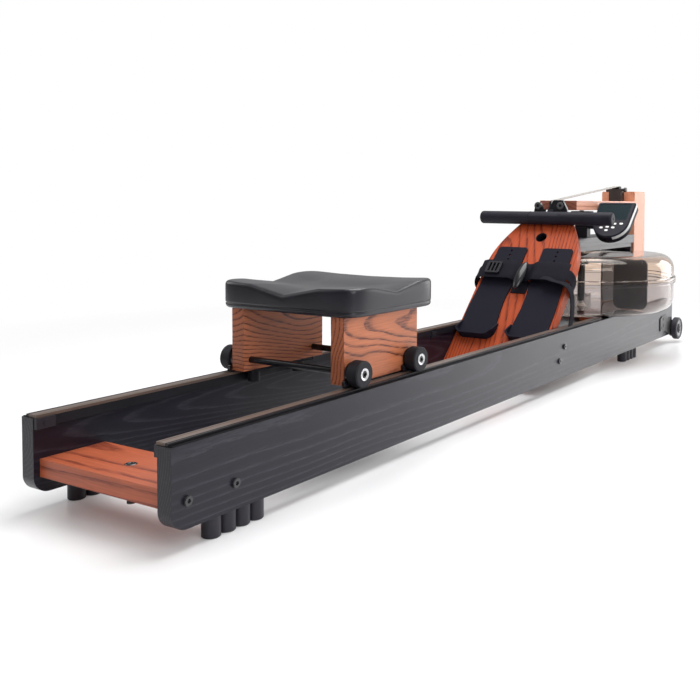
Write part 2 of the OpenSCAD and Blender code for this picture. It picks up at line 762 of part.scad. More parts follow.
module transport_wheel() {
  w = transport_w;
  translate([rail_out + 4, transport_y, transport_z]) rotate([0, 90, 0]) rotate_extrude($fn = 64) polygon([
    [transport_axle_r + run_gap, 0], [transport_r - 3, 0], [transport_r, 3], [transport_r, w - 3],
    [transport_r - 3, w], [transport_r - 8, w], [transport_r - 9, w - 3], [15, w - 3], [14, w],
    [transport_axle_r + run_gap, w]
  ]);
}

module transport_wheel_left() {
  color([0.06, 0.06, 0.06]) place() mirror([1, 0, 0]) transport_wheel();
}

module transport_wheel_right() {
  color([0.06, 0.06, 0.06]) place() transport_wheel();
}

// Foot plate with setting holes and the heel cup
plate_out = board_half - 17.7;
function plate_outline() = concat(
  arc_pts(-32, 341, 8, 0, 90, 4), arc_pts(11 - plate_out, 341, 8, 90, 180, 4),
  [for (i = [0:20])
    bez([[-plate_out, 300], [-plate_out - 5, 215], [-plate_out - 15, 160], [-plate_out - 9, 62]], i / 20)],
  [[-plate_out - 3, 54], [-plate_out / 2 - 12.5, 50], [-28, 54]],
  [for (i = [0:20]) let (p = bez([[-22, 64], [-22, 110], [-36, 150], [-25, 215]], i / 20)) p],
  [[-24, 300]]
);

module foot_plate() {
  on_board() {
    difference() {
      translate([0, 0, plate_n0]) linear_extrude(foot_plate_t) difference() {
        polygon(plate_outline());
        for (i = [0:2]) translate([-plate_out / 2 - 12, 336 - i * peg_pitch]) circle(r = 3);
      }
    }
    difference() {
      translate([0, 0, plate_n0]) linear_extrude(heel_h) difference() {
        heel_outline(0);
        heel_outline(4);
        translate([-rail_in - 7, 92]) square([rail_in + 7, 90]);
      }
      translate([-rail_in - 7, 60, plate_n1 + heel_h - 6]) rotate([-28, 0, 0]) cube([rail_in + 7, 60, 40]);
    }
  }
}

module heel_outline(e) {
  translate([-plate_out - 12 + e, 44 + e]) round_rect(plate_out - 6 - 2 * e, 120 - 2 * e, 26 - e);
}

module foot_plate_left() {
  color([0.16, 0.17, 0.2]) place() foot_plate();
}

module foot_plate_right() {
  color([0.16, 0.17, 0.2]) place() mirror([1, 0, 0]) foot_plate();
}

// Instep strap: an arch over each foot, joined in the middle, with loose ends
strap_half = board_half - 2.7;
function arch(x) =
  let (a = abs(x), b = strap_half - 22, top = strap_rise + plate_n1)
    a < 12 ? 9 : a < 38 ? 9 + (top - 9) * (1 - cos(180 * (a - 12) / 26)) / 2
    : a < b ? top : top - 6 * pow((a - b) / 22, 2);

module instep_strap() {
  t = 2.4;
  xs = [for (i = [-26:26]) i * strap_half / 26];
  e = strap_half;
  color([0.05, 0.05, 0.06]) place() {
    on_board() translate([0, 232 + strap_w, 0]) rotate([90, 0, 0]) linear_extrude(strap_w) polygon(concat(
      [for (x = xs) [x, arch(x)]], [for (i = [len(xs) - 1:-1:0]) [xs[i], arch(xs[i]) + t]]
    ));
    both() on_board() translate([0, 262, 0]) rotate([90, 0, 0]) linear_extrude(26) polygon([
      [e - 0.1, arch(e)], [e - 0.1, arch(e) + t], [e + 4, arch(e) + 0.5], [e + 7, 9], [e + 7, -18], [e + 4, -30],
      [e - 12, -31.5], [e - 12, -28.5], [e, -28.5], [e + 4, -27], [e + 4.4, -17], [e + 4.4, 8]
    ]);
    plate_y_profile(board_y + 122.7, board_y + 147.7);
  }
}

// Loose tail that hangs over the right rail
module plate_y_profile(y0, y1) {
  translate([strap_half, y1, track_top + 1]) rotate([90, 0, 0]) linear_extrude(y1 - y0) polygon([
    [-52, 120.4], [-26, 113], [-4, 109], [12, 100], [21, 84], [24, 57], [23, 27], [19, 0],
    [21.2, 0], [25.4, 27], [26.4, 57], [23.4, 85], [13.5, 102], [-3.4, 111.4], [-26, 115.4], [-52, 122.8]
  ]);
}

// Moulded toggle in the middle of the strap
module strap_toggle() {
  n = 14;
  color([0.08, 0.08, 0.09]) place() on_board() translate([2, 196, 9 + 2.4 + seat_gap + 12.5]) rotate([-90, 0, 0])
    rotate_extrude($fn = 32) polygon(concat(
      [[0, 0]], [for (i = [0:n]) let (t = i / n) [3.5 + 9 * pow(sin(180 * t), 0.6), 84 * t]], [[0, 82]]
    ));
}

// Ladder buckle on the left side of the strap
module strap_buckle() {
  n0 = strap_rise + plate_n1 + 2.4 + seat_gap;
  color([0.05, 0.05, 0.05]) place() on_board() translate([-108, 238, n0]) linear_extrude(6) difference() {
    round_rect(44, 38, 5);
    for (x = [8, 19, 30]) translate([x, 5]) square([6, 28]);
  }
}

// Seat panels with the axle holes
module seat_panel() {
  difference() {
    block(panel_in, panel_out, panel_y0, panel_y0 + panel_len, panel_z0, panel_top);
    for (y = [axle_y1, axle_y2]) bar_x(axle_r + run_gap, panel_in - 1, panel_out + 1, y, axle_z);
  }
}

module seat_panel_left() {
  color([0.7, 0.42, 0.3]) place() mirror([1, 0, 0]) seat_panel();
}

module seat_panel_right() {
  color([0.7, 0.42, 0.3]) place() seat_panel();
}

module seat_axles() {
  color([0.05, 0.05, 0.05]) place() for (y = [axle_y1, axle_y2]) {
    bar_x(axle_r, -wheel_in - wheel_w + 3, wheel_in + wheel_w - 3, y, axle_z);
  }
}

// Guards between the panels and the wheels
module wheel_guards() {
  color([0.05, 0.05, 0.05]) place() both() for (y = [axle_y1, axle_y2]) plate_x(guard_in, guard_out)
    difference() {
      union() {
        translate([y, axle_z]) circle(r = wheel_r - 3.9);
        translate([y - 25, track_top + 0.8]) round_rect(50, 13, 4);
        translate([y - 15, track_top + 6]) square([30, 14]);
      }
      translate([y, axle_z]) circle(r = axle_r + run_gap);
    }
}

// Slide plates and guide blocks below the panels
module slide_plates() {
  color([0.06, 0.06, 0.06]) place() both()
    block(panel_in + 2, track_in - 1.5, panel_y0 + 22, panel_y0 + panel_len - 25, panel_z0 - 6.3, panel_z0 - seat_gap);
}

module guide_blocks() {
  x = track_in - guide_r - 0.6;
  color([0.1, 0.1, 0.1]) place() both() for (y = [panel_y0 + 41, panel_y0 + panel_len - 55])
    bar_z(guide_r, rail_top - 17, panel_z0 - 6.6, x, y);
}

// Seat wheel with its metal ring and axle bore
module seat_wheel(y) {
  translate([wheel_in, y, axle_z]) rotate([0, 90, 0]) rotate_extrude($fn = 64) polygon([
    [axle_r + run_gap, 0], [wheel_r - 1.2, 0], [wheel_r, 1.2], [wheel_r, wheel_w - 2],
    [wheel_r - 2, wheel_w], [wheel_ring_r, wheel_w], [wheel_ring_r - 1, wheel_w - 1.2],
    [axle_r + run_gap, wheel_w - 1.2]
  ]);
}

module seat_wheel_rear_left() {
  color([0.1, 0.1, 0.11]) place() mirror([1, 0, 0]) seat_wheel(axle_y1);
}

module seat_wheel_rear_right() {
  color([0.1, 0.1, 0.11]) place() seat_wheel(axle_y1);
}

module seat_wheel_front_left() {
  color([0.1, 0.1, 0.11]) place() mirror([1, 0, 0]) seat_wheel(axle_y2);
}

module seat_wheel_front_right() {
  color([0.1, 0.1, 0.11]) place() seat_wheel(axle_y2);
}

// Moulded seat pad: saddle-shaped top, full rim, drawn-in underside
function pad_edge(a, k) =
  let (c = cos(a), s = sin(a), e = 0.29)
    [k * pad_half_w * sign(c) * pow(abs(c), e), k * pad_len / 2 * sign(s) * pow(abs(s), e)];

function bell(x, w) = exp(-x * x / (w * w));

function pad_rise(x, y) =
  let (u = x / pad_half_w, v = y / (pad_len / 2))
    pad_depth - 2 + 5 * u * u - 15 * bell(u, 0.17) * pow(max(0, -v), 1.5)
    - 9 * bell(u, 0.75) * bell(v + 0.1, 0.45) - 13 * pow(abs(u), 3) * bell(v - 0.02, 0.36)
    - 3 * bell(u - 0.5 * sign(u), 0.25) * bell(v - 0.1, 0.5) + 2 * max(0, v);

module seat_pad() {
  n = 48;
  rings = [0.001, 0.2, 0.4, 0.58, 0.74, 0.87, 0.955];
  skirt = [[0.992, -3.5], [1, -8]];
  under = [[1, 8], [0.985, 3], [0.95, 0], [0.6, 0], [0.001, 0]];
  rows = concat(
    [for (k = rings) [for (i = [0:n - 1]) let (p = pad_edge(360 * i / n, k)) [p[0], p[1], pad_rise(p[0], p[1])]]],
    [for (s = skirt) [for (i = [0:n - 1])
      let (p = pad_edge(360 * i / n, s[0]), q = pad_edge(360 * i / n, 1)) [p[0], p[1], pad_rise(q[0], q[1]) + s[1]]]],
    [for (s = under) [for (i = [0:n - 1]) let (p = pad_edge(360 * i / n, s[0])) [p[0], p[1], s[1]]]]
  );
  m = len(rows);
  color([0.06, 0.06, 0.07]) place() translate([0, panel_y0 - 10 + pad_len / 2, panel_top + seat_gap]) polyhedron(
    points = [for (r = rows) each r],
    faces = concat(
      [[for (i = [n - 1:-1:0]) i]],
      [for (j = [0:m - 2], i = [0:n - 1]) let (a = j * n + i, b = j * n + (i + 1) % n)
        each [[a, b, b + n], [a, b + n, a + n]]],
      [[for (i = [0:n - 1]) (m - 1) * n + i]]
    )
  );
}

// Belt drum on the paddle shaft
module belt_drum() {
  color([0.2, 0.2, 0.2]) place() translate([0, tank_y, drum_z]) rotate_extrude($fn = 64) polygon([
    [shaft_r + run_gap, 0], [drum_r, 0], [drum_r, 3], [drum_hub_r, 5], [drum_hub_r, drum_h - 5],
    [drum_r, drum_h - 3], [drum_r, drum_h], [shaft_r + run_gap, drum_h]
  ]);
}

// Paddle shaft, stepped at the lower end
module paddle_shaft() {
  color([0.6, 0.6, 0.6]) place() translate([0, tank_y, 0]) rotate_extrude() polygon([
    [0, shaft_z0], [4.5, shaft_z0], [4.5, shaft_step], [shaft_r, shaft_step], [shaft_r, shaft_top], [0, shaft_top]
  ]);
}

// Paddle: hub, four arms and four rounded blades
module paddle_blades() {
  color([0.15, 0.14, 0.15]) place() translate([0, tank_y, 0]) {
    difference() {
      union() {
        bar_z(22, arm_z - 8, arm_z + 15, 0, 0);
        for (a = [-10, 80, 170, 260]) rotate([0, 0, a]) {
          block(15, blade_reach - 14, -7, 7, arm_z - 1, arm_z + 11);
          translate([blade_reach - blade_len, blade_t / 2, blade_top - blade_h]) rotate([90, 0, 0])
            linear_extrude(blade_t) round_rect(blade_len, blade_h, blade_corner_r);
        }
      }
      bar_z(shaft_r + run_gap, arm_z - 10, arm_z + 20, 0, 0);
    }
  }
}

// Handle bar with rounded ends and flats at the middle
module handle_bar() {
  h = handle_len / 2;
  e = 6;
  color([0.12, 0.12, 0.14]) place() difference() {
    translate([-h, handle_y, handle_z]) rotate([0, 90, 0]) rotate_extrude($fn = 64) polygon(concat(
      [[0, 0], [handle_r - e, 0]], arc_pts(handle_r - e, e, e, -75, 0, 5),
      arc_pts(handle_r - e, 2 * h - e, e, 0, 75, 5), [[handle_r - e, 2 * h], [0, 2 * h]]
    ));
    for (s = [-1, 1]) bar_x(2.5, s * h - 6, s * h + 6, handle_y, handle_z);
    translate([0, handle_y, handle_z]) rotate([52, 0, 0]) translate([-46, -20, handle_r - 0.8]) cube([92, 40, 5]);
  }
}

rail_left();
rail_right();
track_caps();
track_skirts();
rear_stops();
front_stops();
rear_board();
rear_hook();
rail_bolts();
rubber_feet();
foot_board();
foot_board_batten();
tank_lower();
tank_upper();
tank_seal();
tank_pads();
shaft_bush_lower();
shaft_bush_upper();
lower_beam();
tank_clamp();
top_beam();
front_post();
front_board();
front_roller_bracket();
rear_roller_bracket();
lower_roller_bracket();
handle_rest();
monitor_arm();
transport_brackets();
instep_strap();
strap_toggle();
strap_buckle();
drive_belt();
belt_return();
pull_strap();
seat_panel_left();
seat_panel_right();
seat_pad();
seat_axles();
wheel_guards();
slide_plates();
guide_blocks();
seat_wheel_rear_left();
seat_wheel_rear_right();
seat_wheel_front_left();
seat_wheel_front_right();
belt_drum();
paddle_shaft();
paddle_blades();
rear_roller();
front_roller();
lower_roller();
handle_bar();
foot_plate_left();
foot_plate_right();
monitor_case();
monitor_screen();
monitor_keys();
transport_wheel_left();
transport_wheel_right();
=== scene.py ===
"""Dresses the water rowing machine: timber, moulded parts, tank, webbing and the studio round it.

Sizes are in millimetres, with y counted from the rails' rear ends, unless a comment says metres.
"""
from __future__ import annotations

import json
import logging
import math
from dataclasses import dataclass, field
from enum import Enum
from typing import Callable, Iterable, Sequence

import bmesh
import bpy
from mathutils import Matrix, Vector

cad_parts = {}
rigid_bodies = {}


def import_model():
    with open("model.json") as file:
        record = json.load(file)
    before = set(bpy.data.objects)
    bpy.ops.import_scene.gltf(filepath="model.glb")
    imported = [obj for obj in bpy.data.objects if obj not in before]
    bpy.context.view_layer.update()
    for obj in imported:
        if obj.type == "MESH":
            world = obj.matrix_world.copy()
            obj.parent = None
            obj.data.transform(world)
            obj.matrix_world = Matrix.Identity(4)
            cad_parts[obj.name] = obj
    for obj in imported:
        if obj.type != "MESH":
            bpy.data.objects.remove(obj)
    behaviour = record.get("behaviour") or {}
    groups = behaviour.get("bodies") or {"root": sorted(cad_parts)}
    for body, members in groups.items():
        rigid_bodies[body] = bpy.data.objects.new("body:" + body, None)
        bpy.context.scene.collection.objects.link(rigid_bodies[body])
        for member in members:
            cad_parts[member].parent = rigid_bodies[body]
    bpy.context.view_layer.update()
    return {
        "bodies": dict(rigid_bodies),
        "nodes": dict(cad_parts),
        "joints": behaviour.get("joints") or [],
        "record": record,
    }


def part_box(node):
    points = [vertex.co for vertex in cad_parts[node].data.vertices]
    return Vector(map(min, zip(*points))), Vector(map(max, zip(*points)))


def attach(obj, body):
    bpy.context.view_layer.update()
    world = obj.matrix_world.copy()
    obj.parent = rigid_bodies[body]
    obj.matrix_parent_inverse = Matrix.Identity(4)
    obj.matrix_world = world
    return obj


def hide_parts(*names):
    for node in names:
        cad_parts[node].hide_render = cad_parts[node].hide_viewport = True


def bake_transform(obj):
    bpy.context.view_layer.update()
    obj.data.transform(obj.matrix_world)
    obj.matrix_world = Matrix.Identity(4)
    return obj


LOG = logging.getLogger("rowing_machine")
MM = 0.001
Y_MID = 1047.0  # half the machine's length, where the row frame has its origin
BOARD_SLOPE = math.radians(47)
MONITOR_SLOPE = math.radians(49)
QUARTER_TURN = math.pi / 2
WELD_GAP = 0.00001  # metres
FLAT_BEND, SHARP_BEND, EASED_BEND = math.radians(0.4), math.radians(32), math.radians(40)
SIDES = (("left", -1), ("right", 1))
WHITE = (1, 1, 1, 1)
Point = Sequence[float]
Pair = tuple[float, float]
Triple = tuple[float, float, float]
Colour = Triple
Socket = bpy.types.NodeSocket
Piece = bpy.types.Object


def at(x: float, y: float, z: float) -> Vector:
    """Turns a place in millimetres into one in metres in the row frame."""
    return Vector((x * MM, (y - Y_MID) * MM, z * MM))


def stand(place: Vector, axis: str = "Z", turn: float = 0.0) -> Matrix:
    """Gives the frame of a turned piece from its place and one turn."""
    return Matrix.Translation(place) @ Matrix.Rotation(turn, 4, axis)


def sideways(_share: float) -> Vector:
    """Gives the width direction of a strap that lies across the machine."""
    return Vector((1, 0, 0))


def grey(level: float) -> Colour:
    """Gives the grey of a level."""
    return level, level, level


def dimmed(colour: Colour, share: float) -> Colour:
    """Gives a colour at a share of its strength, at most full."""
    return tuple(min(1.0, c * share) for c in colour)


class Grain(Enum):
    """Which way a board's grain runs, as the turn that brings it to local Y."""

    ALONG = (0.0, 0.0, 0.0)
    ACROSS = (0.0, 0.0, QUARTER_TURN)
    UPRIGHT = (-QUARTER_TURN, 0.0, 0.0)
    SLOPED = (-BOARD_SLOPE, 0.0, 0.0)


class Edge(Enum):
    """How far an edge is eased, in metres."""

    CRISP = 0.0003
    EASED = 0.0009
    ROUNDED = 0.0016


class Nodes:
    """Adds nodes to one node tree."""

    def __init__(self, tree: bpy.types.NodeTree) -> None:
        """Starts on a tree."""
        self.nodes, self.links = tree.nodes, tree.links

    def add(self, kind: str, inputs: dict | None = None, **settings: object) -> bpy.types.Node:
        """Adds a node.

        Args:
            kind: The node's type.
            inputs: Values or output sockets by input name or index.
            settings: Attributes to set on the node.
        Returns:
            The new node.
        """
        node = self.nodes.new(kind)
        for key, value in settings.items():
            setattr(node, key, value)
        for key, value in (inputs or {}).items():
            if isinstance(value, Socket):
                self.links.new(value, node.inputs[key])
            else:
                node.inputs[key].default_value = value
        return node

    def math(self, kind: str, first: object, second: object = 0.0) -> Socket:
        """Does one sum."""
        return self.add("ShaderNodeMath", {0: first, 1: second}, operation=kind).outputs[0]

    def vector(self, kind: str, first: Socket, second: Point = (0, 0, 0),
               output: object = 0) -> Socket:
        """Does one sum with vectors."""
        inputs = {0: first, 1: second}
        return self.add("ShaderNodeVectorMath", inputs, operation=kind).outputs[output]

    def blend(self, factor: Socket, first: Socket, second: Socket) -> Socket:
        """Mixes two shaders."""
        return self.add("ShaderNodeMixShader", {0: factor, 1: first, 2: second}).outputs[0]

    def seen(self) -> Socket:
        """Gives 1 for the rays that show the backdrop itself, from the camera or through glass."""
        ray = self.add("ShaderNodeLightPath").outputs
        return self.math("MAXIMUM", ray["Is Camera Ray"], ray["Is Transmission Ray"])


class Graph(Nodes):
    """Builds one surface material."""

    def __init__(self, name: str) -> None:
        """Starts an empty material.

        Args:
            name: The material's name.
        """
        self.material = bpy.data.materials.new(name)
        self.material.use_nodes = True
        super().__init__(self.material.node_tree)
        self.shader = self.nodes["Principled BSDF"]
        self.output = self.nodes["Material Output"]

    def place(self) -> Socket:
        """Gives the object's own coordinates, in metres."""
        return self.add("ShaderNodeTexCoord").outputs["Object"]

    def mapped(self, vector: Socket, scale: Point = (1, 1, 1), turn: Point = (0, 0, 0),
               shift: Point = (0, 0, 0)) -> Socket:
        """Turns, shifts and stretches coordinates."""
        inputs = {"Vector": vector, "Scale": scale, "Rotation": turn, "Location": shift}
        return self.add("ShaderNodeMapping", inputs).outputs[0]

    def along(self, vector: Socket, share: float) -> Socket:
        """Draws a texture out along Y, by shrinking that coordinate to a share."""
        return self.mapped(vector, scale=(1, share, 1))

    def noise(self, vector: Socket, scale: float, detail: float = 3.0, rough: float = 0.5,
              output: str = "Fac") -> Socket:
        """Adds a noise texture and gives its value or its colour."""
        inputs = {"Vector": vector, "Scale": scale, "Detail": detail, "Roughness": rough}
        return self.add("ShaderNodeTexNoise", inputs).outputs[output]

    def ramp(self, value: Socket, stops: Iterable[tuple[float, Colour]]) -> Socket:
        """Adds a colour ramp.

        Args:
            value: What drives the ramp.
            stops: Places and colours.
        Returns:
            The ramp's colour.
        """
        node = self.add("ShaderNodeValToRGB", {0: value})
        steps = list(stops)
        while len(node.color_ramp.elements) < len(steps):
            node.color_ramp.elements.new(0.5)
        for element, (spot, colour) in zip(node.color_ramp.elements, steps):
            element.position = spot
            element.color = (*colour, 1.0)
        return node.outputs[0]

    def mix(self, kind: str, factor: object, first: object, second: object) -> Socket:
        """Mixes two colours."""
        inputs = {0: factor, 1: first, 2: second}
        return self.add("ShaderNodeMixRGB", inputs, blend_type=kind).outputs[0]

    def vary(self, value: Socket, span: float, base: float) -> Socket:
        """Spreads a value over a span above a base."""
        return self.math("ADD", self.math("MULTIPLY", value, span), base)

    def bump(self, height: Socket, strength: float, distance: float,
             under: Socket | None = None) -> Socket:
        """Adds a bump and joins it to the shader.

        Args:
            height: The relief.
            strength: How strongly it shows.
            distance: Its depth in metres.
            under: The bump that it lies on.
        Returns:
            The bumped normal.
        """
        values: dict = {"Height": height, "Strength": strength, "Distance": distance}
        if under is not None:
            values["Normal"] = under
        out = self.add("ShaderNodeBump", values).outputs[0]
        self.links.new(out, self.shader.inputs["Normal"])
        return out

    def set(self, **values: object) -> None:
        """Sets the shader's own sockets.

        Args:
            values: Values or output sockets by socket name, with an underscore for each space.
        """
        for key, value in values.items():
            target = self.shader.inputs[key.replace("_", " ")]
            if isinstance(value, Socket):
                self.links.new(value, target)
            else:
                target.default_value = value


@dataclass(frozen=True)
class Timber:
    """Open-grained timber with year rings, pores and a thin lacquer.

    The rings stand round an axis along the grain, which heart shifts (in metres) and lean tilts.
    """

    name: str
    early: Colour
    late: Colour
    pore: Colour
    grain: Grain = Grain.ALONG
    heart: Triple = (0.05, 0.0, -0.12)
    lean: Triple = (0.03, 0.0, 0.04)
    rings: float = 34.0
    rough: float = 0.42
    coat: float = 0.12
    relief: float = 0.25
    wander: float = 0.03  # how far the rings stray
    stretch: float = 0.16  # how little they change along the grain
    swirl: float = 7.0  # how often they stray in a metre
    line: float = 0.8  # how dark the late wood is drawn
    gloss: float = 0.3
    end: float = 0.25  # how dark the end grain is; large values also paint shade on the end faces
    dashes: float = 300.0  # this and the next three: how often a texture changes in a metre
    streaks: float = 420.0
    pores: float = 950.0
    clouds: float = 9.0
    end_grain_and_shade_tint: Colour = (0.22, 0.1, 0.08)

    def figure(self, g: Graph, turned: Socket) -> Socket:
        """Draws the year rings as the board cuts them, broken into fine dashes.

        Args:
            g: The material's nodes.
            turned: Coordinates with the grain along Y.
        Returns:
            The figure, with late wood bright.
        """
        long = g.along(g.mapped(turned, turn=self.lean, shift=self.heart), self.stretch)
        drift = g.noise(long, self.swirl, 1.5, 0.4, "Color")
        strayed = g.vector("MULTIPLY", g.vector("SUBTRACT", drift, grey(0.5)), grey(self.wander))
        bent = g.vector("ADD", long, strayed)
        wave = g.add("ShaderNodeTexWave", {"Vector": bent, "Scale": self.rings, "Distortion": 0.8,
                                           "Detail": 3.0, "Detail Scale": 2.5}, wave_type="RINGS",
                     rings_direction="Y", wave_profile="SAW").outputs["Fac"]
        ring = g.ramp(wave, [(0.0, grey(0.7)), (0.05, grey(0.1)), (0.4, grey(0.0)),
                             (0.7, grey(0.16 * self.line)), (0.86, grey(self.line)),
                             (1.0, grey(1))])
        dash = g.ramp(g.noise(g.along(turned, 0.09), self.dashes, 2.0, 0.6),
                      [(0.38, grey(0.25)), (0.56, grey(1))])
        return g.mix("MULTIPLY", 0.75, ring, dash)

    def material(self) -> bpy.types.Material:
        """Builds the timber: rings cut by the board, streaks, pores and relief.

        Returns:
            The material.
        """
        g = Graph(self.name)
        turned = g.mapped(g.place(), turn=self.grain.value)
        ring = self.figure(g, turned)
        fine = g.along(turned, 0.022)
        streak = g.noise(fine, self.streaks, 3.0, 0.6)
        pores = g.ramp(g.noise(fine, self.pores, 2.0), [(0.36, grey(1)), (0.46, grey(0))])
        broad = g.noise(g.along(turned, 0.25), self.clouds, 2.0)
        tone = g.mix("MIX", ring, (*self.early, 1), (*self.late, 1))
        tone = g.mix("OVERLAY", 0.5, tone,
                     g.ramp(streak, [(0.25, grey(0.32)), (0.75, grey(0.68))]))
        tone = g.mix("MULTIPLY", 0.5, tone,
                     g.ramp(broad, [(0.3, (0.72, 0.7, 0.68)), (0.7, grey(1))]))
        # End faces across the grain are darkened towards end_grain_and_shade_tint: real end grain,
        # and, where end is large, painted shade.
        facing = g.mapped(g.add("ShaderNodeTexCoord").outputs["Normal"], turn=self.grain.value)
        endwise = g.math("ABSOLUTE", g.add("ShaderNodeSeparateXYZ", {0: facing}).outputs[1])
        shade = g.math("MULTIPLY", g.math("POWER", endwise, 4.0), self.end)
        tone = g.mix("MULTIPLY", shade, tone, (*self.end_grain_and_shade_tint, 1))
        in_late = g.math("MULTIPLY", g.vary(ring, 0.8, 0.2), pores)
        tone = g.mix("MIX", g.math("MULTIPLY", in_late, 0.75), tone, (*self.pore, 1))
        g.set(Base_Color=tone, Coat_Weight=self.coat, Coat_Roughness=0.22,
              Specular_IOR_Level=self.gloss, Roughness=g.vary(streak, 0.16, self.rough - 0.08))
        deep = g.math("SUBTRACT", g.math("MULTIPLY", ring, -0.4), in_late)
        g.bump(streak, self.relief * 0.5, 0.0002, g.bump(deep, self.relief, 0.0005))
        return g.material


@dataclass(frozen=True)
class Moulding:
    """Moulded plastic, rubber or foam skin with a fine texture and slight wear."""

    name: str
    colour: Colour
    rough: float = 0.45
    texture: float = 900.0  # pits in a metre
    relief: float = 0.12
    coat: float = 0.0
    gloss: float = 0.25
    spread: float = 0.25  # how far wear changes the colour

    def material(self) -> bpy.types.Material:
        """Builds the skin.

        Returns:
            The material.
        """
        g = Graph(self.name)
        where = g.place()
        smear = g.noise(where, 18.0, 4.0, 0.6)
        tone = g.ramp(smear, [(0.3, dimmed(self.colour, 1 - self.spread)),
                              (0.7, dimmed(self.colour, 1 + self.spread))])
        pits = g.add("ShaderNodeTexVoronoi", {"Vector": where, "Scale": self.texture})
        g.set(Base_Color=tone, Coat_Weight=self.coat, Coat_Roughness=0.15,
              Specular_IOR_Level=self.gloss, Roughness=g.vary(smear, 0.14, self.rough - 0.07))
        g.bump(pits.outputs["Distance"], self.relief, 0.0003)
        return g.material


@dataclass(frozen=True)
class Metal:
    """Turned or drawn metal with fine marks."""

    name: str
    colour: Colour
    rough: float = 0.3
    scratch: Point = (1, 1, 1)  # how the marks are drawn out

    def material(self) -> bpy.types.Material:
        """Builds the metal.

        Returns:
            The material.
        """
        g = Graph(self.name)
        marks = g.noise(g.mapped(g.place(), scale=self.scratch), 700.0, 3.0, 0.7)
        tone = g.ramp(marks, [(0.3, dimmed(self.colour, 0.82)), (0.7, self.colour)])
        g.set(Base_Color=tone, Metallic=1.0, Roughness=g.vary(marks, 0.2, self.rough - 0.1))
        g.bump(marks, 0.08, 0.0002)
        return g.material


@dataclass(frozen=True)
class TintedShell:
    """Clear brown-tinted tank plastic."""

    name: str = "tinted_shell"
    tint: Colour = (0.87, 0.755, 0.67)

    def material(self) -> bpy.types.Material:
        """Builds the clear shell with faint moulding waves.

        Returns:
            The material.
        """
        g = Graph(self.name)
        waves = g.noise(g.place(), 5.0, 2.0)
        tone = g.ramp(waves, [(0.3, dimmed(self.tint, 0.97)), (0.7, self.tint)])
        g.set(Base_Color=tone, Transmission_Weight=1.0, IOR=1.3, Roughness=0.015,
              Specular_IOR_Level=0.8)
        g.bump(waves, 0.06, 0.002)
        return g.material


@dataclass(frozen=True)
class Webbing:
    """Woven strap: ribs across it and threads along it."""

    name: str
    colour: Colour
    ribs: float = 420.0  # in a metre
    rough: float = 0.75
    turn: Triple = (0, 0, 0)

    def band(self, g: Graph, where: Socket, scale: float, way: str) -> Socket:
        """Draws the threads that run one way."""
        inputs = {"Vector": where, "Scale": scale, "Distortion": 0.4}
        return g.add("ShaderNodeTexWave", inputs, bands_direction=way).outputs["Fac"]

    def material(self) -> bpy.types.Material:
        """Builds the weave from two crossed bands.

        Returns:
            The material.
        """
        g = Graph(self.name)
        where = g.mapped(g.place(), turn=self.turn)
        weave = g.math("MULTIPLY", self.band(g, where, self.ribs / 3.14, "X"),
                       self.band(g, where, self.ribs / 2.2, "Y"))
        fuzz = g.noise(where, 260.0, 4.0, 0.7)
        worn = g.math("ADD", g.math("MULTIPLY", weave, 0.6), g.math("MULTIPLY", fuzz, 0.5))
        tone = g.ramp(worn, [(0.2, dimmed(self.colour, 0.5)), (0.8, self.colour)])
        g.set(Base_Color=tone, Roughness=self.rough, Specular_IOR_Level=0.12)
        g.bump(weave, 0.5, 0.0004)
        return g.material


@dataclass(frozen=True)
class Display:
    """Dark grey-green display behind a clear window."""

    name: str = "display"
    cell: Colour = (0.0135, 0.024, 0.029)
    other: Colour = (0.016, 0.028, 0.033)
    gap: Colour = (0.012, 0.021, 0.025)
    cells: float = 58.0  # in a metre

    def material(self) -> bpy.types.Material:
        """Builds the display with faint unlit cells.

        Returns:
            The material.
        """
        g = Graph(self.name)
        turned = g.mapped(g.place(), scale=grey(self.cells), turn=(-MONITOR_SLOPE, 0, 0))
        inputs = {"Vector": turned, "Color1": (*self.cell, 1), "Color2": (*self.other, 1),
                  "Mortar": (*self.gap, 1), "Scale": 1.0, "Mortar Size": 0.03}
        tone = g.add("ShaderNodeTexBrick", inputs, offset=0.0).outputs["Color"]
        g.set(Base_Color=tone, Roughness=0.5, Specular_IOR_Level=0.03)
        return g.material


@dataclass(frozen=True)
class TrackStrip:
    """Track cap: translucent brown strip with a dark outer edge and fine drawn lines."""

    name: str = "track_strip"
    face: Colour = (0.14, 0.098, 0.08)
    dark: Colour = (0.006, 0.005, 0.007)
    edge_x: float = 0.146  # where the dark edge begins, in metres from the middle

    def material(self) -> bpy.types.Material:
        """Builds the strip: its dark line stands at a fixed distance from the middle.

        Returns:
            The material.
        """
        g = Graph(self.name)
        where = g.place()
        x = g.math("ABSOLUTE", g.add("ShaderNodeSeparateXYZ", {0: where}).outputs[0])
        fine = g.noise(g.along(where, 0.01), 900.0, 2.0)
        worn = g.noise(g.along(where, 0.3), 30.0, 3.0)
        tone = g.ramp(worn, [(0.3, dimmed(self.face, 0.8)), (0.7, self.face)])
        outer = g.math("GREATER_THAN", x, self.edge_x)
        g.set(Base_Color=g.mix("MIX", outer, tone, (*self.dark, 1)),
              Roughness=g.vary(fine, 0.14, 0.28), Specular_IOR_Level=0.3)
        g.bump(fine, 0.15, 0.0002)
        return g.material


